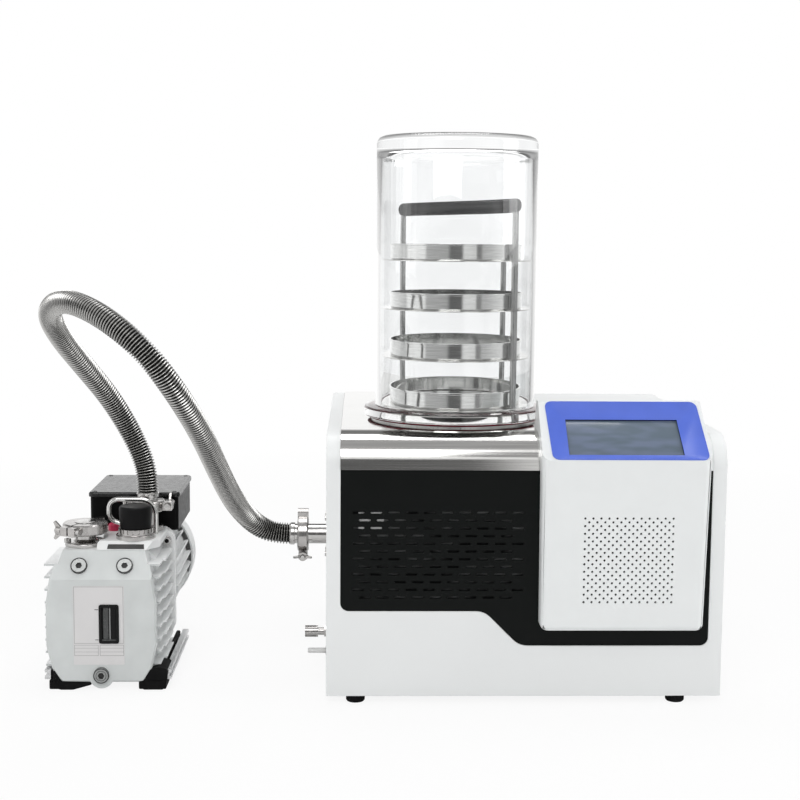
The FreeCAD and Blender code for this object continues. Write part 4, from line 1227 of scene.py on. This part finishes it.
def makeDeckPlate(setup):
    # the small dark plate on the slope in front of the gas ballast
    left, right = setup["sides"]
    near, far = (Vector((0, 1, 1)).normalized() * up / 1000 for up in setup["slopes"])
    foot = place("gas_ballast_seat")[0].z * 1000 - setup["under"]
    bm = bmesh.new()
    bm.faces.new([bm.verts.new(atPump(x, setup["setback"], foot) + up) for x, up in (
        (left, near), (right, near), (right - setup["taper"], far), (left + setup["taper"], far))])
    drawFace(bm, Vector((0, -1, 1)).normalized() * setup["thick"] / 1000)
    roundEdges(bm, setup["edge"], 1)
    addPiece("deckPlate", bm, darkPlate, slot="black_plastic")


def makeLidScrews(setup):
    low, high, _ = place("terminal_lid")
    inset, height = setup["lidInset"] / 1000, high.z - setup["lidSunk"] / 1000
    left, right, near, far = low.x + inset, high.x - inset, low.y + inset, high.y - inset
    capScrews("lidScrew", [Vector((x, y, height)) for y in (near, far) for x in (left, right)],
              (0, 0, 1), setup["lidHead"], lidScrewSteel)


makePumpScrews(screwSetup)
makeDeckPlate(deckSetup)
makeLidScrews(screwSetup)


footSetup = {  # outlines in mm from the middle of the oil case's front, across and up
    "outlines": {
        "footLeft": [(-74, 5), (-62, 0), (-44, 0), (-17, 7.5), (-17, 12), (-60, 14), (-70.5, 31)],
        "footRight": [(52, 13), (52.6, 4), (59, 0), (86, 0), (91, 5), (92.5, 15), (94, 28),
                      (91, 32), (80, 34), (66, 30)],
    },
    "depths": (1.0, 52.0),
    "rounding": 1.6,
}


def makeFeet(setup):
    # the moulded ends of the rubber feet below the oil case
    near, far = setup["depths"]
    for name, outline in setup["outlines"].items():
        bm = bmesh.new()
        bm.faces.new([bm.verts.new(atPump(x, near, z)) for x, z in outline])
        drawFace(bm, (0, (far - near) / 1000, 0))
        roundEdges(bm, setup["rounding"], 4, 12)
        evenNormals(addPiece(name, bm, blackRubber, slot="black_rubber"))


makeFeet(footSetup)
print("pump made")


# ---- pieces inside and behind, which keep their own solids ----

innerFinishes = {
    "base_tray": zincSheet, "compressor": blackEnamel, "condenser": plainAluminium,
    "fan_motor": zincSheet, "condenser_fan": blackPlastic, "motor_fan": blackPlastic,
    "evaporator_coil": copperTube, "power_inlet": blackPlastic, "power_switch": glossBlack,
}
for nodeName, finish in innerFinishes.items():
    nodes[nodeName].data.materials.clear()
    nodes[nodeName].data.materials.append(finish)


# ---- stage ----

stageSetup = {
    "floorReach": 14.0,
    "floorColour": (0.88, 0.88, 0.88),
    "nearShare": 0.89,  # how much of the floor is plain white to the camera, by the object and far off
    "farShare": 1.0,
    "fade": (0.7, 2.2),  # metres from the middle, from near to far
    "worldLight": 0.48,
    "lamps": [  # name, power, size and place
        ("keyLamp", 24.0, (1.6, 1.2), (-0.5, -2.2, 2.1)), ("leftLamp", 6.0, (1.0, 1.6), (-2.3, -0.8, 1.0)),
        ("rightLamp", 14.0, (1.0, 1.6), (2.3, -0.6, 1.0)), ("topLamp", 17.0, (1.4, 1.0), (0, 0.4, 2.4))],
    "aim": (0, 0, 0.3),
    "screenRadius": 1.7,  # reflectors round the object, seen in polished metal alone
    "screenTop": 0.86,
    "screenBands": [  # degrees from the front, to the right, and how bright
        (-180, 1.15), (-150, 1.15), (-96, 0.60), (-90, 1.05), (-54, 1.05), (-49, 0.52), (-14, 0.46),
        (-8, 0.15), (9, 0.17), (13, 0.88), (31, 0.80), (34, 0.22), (39, 0.24), (43, 0.55), (80, 0.85),
        (85, 0.05), (101, 0.05), (106, 0.62), (150, 1.15), (180, 1.15)],
    "skyBands": [  # degrees from the front horizon, over the top and down behind
        (0, 0.55), (17, 0.50), (20, 1.15), (25, 1.15), (28, 0.44), (44, 0.44), (47, 1.15), (53, 1.15),
        (57, 0.46), (98, 0.52), (101, 1.12), (106, 1.12), (109, 0.14), (116, 0.14), (122, 0.42),
        (140, 0.18), (180, 0.9)],
}


def lamp(name, power, size, spot):
    data = bpy.data.lights.new(name, "AREA")
    data.energy = power
    data.shape = "RECTANGLE"
    data.size, data.size_y = size
    thing = inScene(name, data)
    thing.location = spot
    thing.rotation_euler = (Vector(stageSetup["aim"]) - Vector(spot)).to_track_quat("-Z", "Y").to_euler()


def makeWorld(setup):
    # plain light for surfaces, white to the eye and through glass, and soft bands in polished metal
    world = bpy.data.worlds.new("studio")
    bpy.context.scene.world = world
    world.use_nodes = True
    sky = Wires(world.node_tree)
    soft = world.node_tree.nodes["Background"]
    soft.inputs["Color"].default_value = white
    soft.inputs["Strength"].default_value = setup["worldLight"]
    seen = sky.node("ShaderNodeBackground", Color=white)
    mirrored = sky.node("ShaderNodeBackground")
    heading = sky.node("ShaderNodeTexCoord").outputs["Generated"]
    sky.link(sky.banded(sky.turnAngle(heading, "Z", "Y"), setup["skyBands"]), mirrored.inputs["Color"])
    ray = sky.node("ShaderNodeLightPath").outputs
    inMetal = sky.blend(ray["Is Glossy Ray"], soft.outputs[0], mirrored.outputs[0])
    toEye = sky.maths("MAXIMUM", ray["Is Camera Ray"], ray["Is Transmission Ray"])
    output = world.node_tree.nodes["World Output"]
    sky.link(sky.blend(toEye, inMetal, seen.outputs[0]), output.inputs["Surface"])


def makeFloor(setup):
    bm = bmesh.new()
    bmesh.ops.create_grid(bm, x_segments=1, y_segments=1, size=setup["floorReach"])
    made = Finish("floorPaper", setup["floorColour"], 0.8)
    glow = made.node("ShaderNodeEmission", Strength=1.0, Color=white)
    ray = made.node("ShaderNodeLightPath").outputs
    seen = made.maths("MAXIMUM", ray["Is Camera Ray"], ray["Is Transmission Ray"])
    away = made.node("ShaderNodeVectorMath", operation="LENGTH")
    made.link(made.node("ShaderNodeTexCoord").outputs["Object"], away.inputs[0])
    plain = made.spread(away.outputs["Value"], setup["nearShare"], setup["farShare"], *setup["fade"])
    made.show(made.blend(made.maths("MULTIPLY", seen, plain), made.shader.outputs["BSDF"],
                         glow.outputs["Emission"]))
    meshObject("floor", bm, made.material)


def makeScreens(setup):
    # a drum of light and dark reflectors that only mirror-like surfaces see
    bm = bmesh.new()
    bmesh.ops.create_circle(bm, segments=64, radius=setup["screenRadius"])
    bmesh.ops.translate(bm, vec=(0, 0, setup["screenTop"]), verts=drawEdges(bm, bm.edges[:]))
    paper = Finish("reflectorPaper", (0.5, 0.5, 0.5), 1.0)
    glow = paper.node("ShaderNodeEmission", Strength=1.0)
    around = paper.node("ShaderNodeTexCoord").outputs["Object"]
    paper.link(paper.banded(paper.turnAngle(around, "X", "Y"), setup["screenBands"]), glow.inputs["Color"])
    paper.show(glow.outputs["Emission"])
    drum = meshObject("reflectors", bm, paper.material)
    for ray in ("camera", "diffuse", "transmission", "shadow"):
        setattr(drum, "visible_" + ray, False)


def makeStage(setup):
    bpy.context.scene.view_settings.view_transform = "Standard"
    makeWorld(setup)
    makeFloor(setup)
    makeScreens(setup)
    for row in setup["lamps"]:
        lamp(*row)


makeStage(stageSetup)
print("stage made")
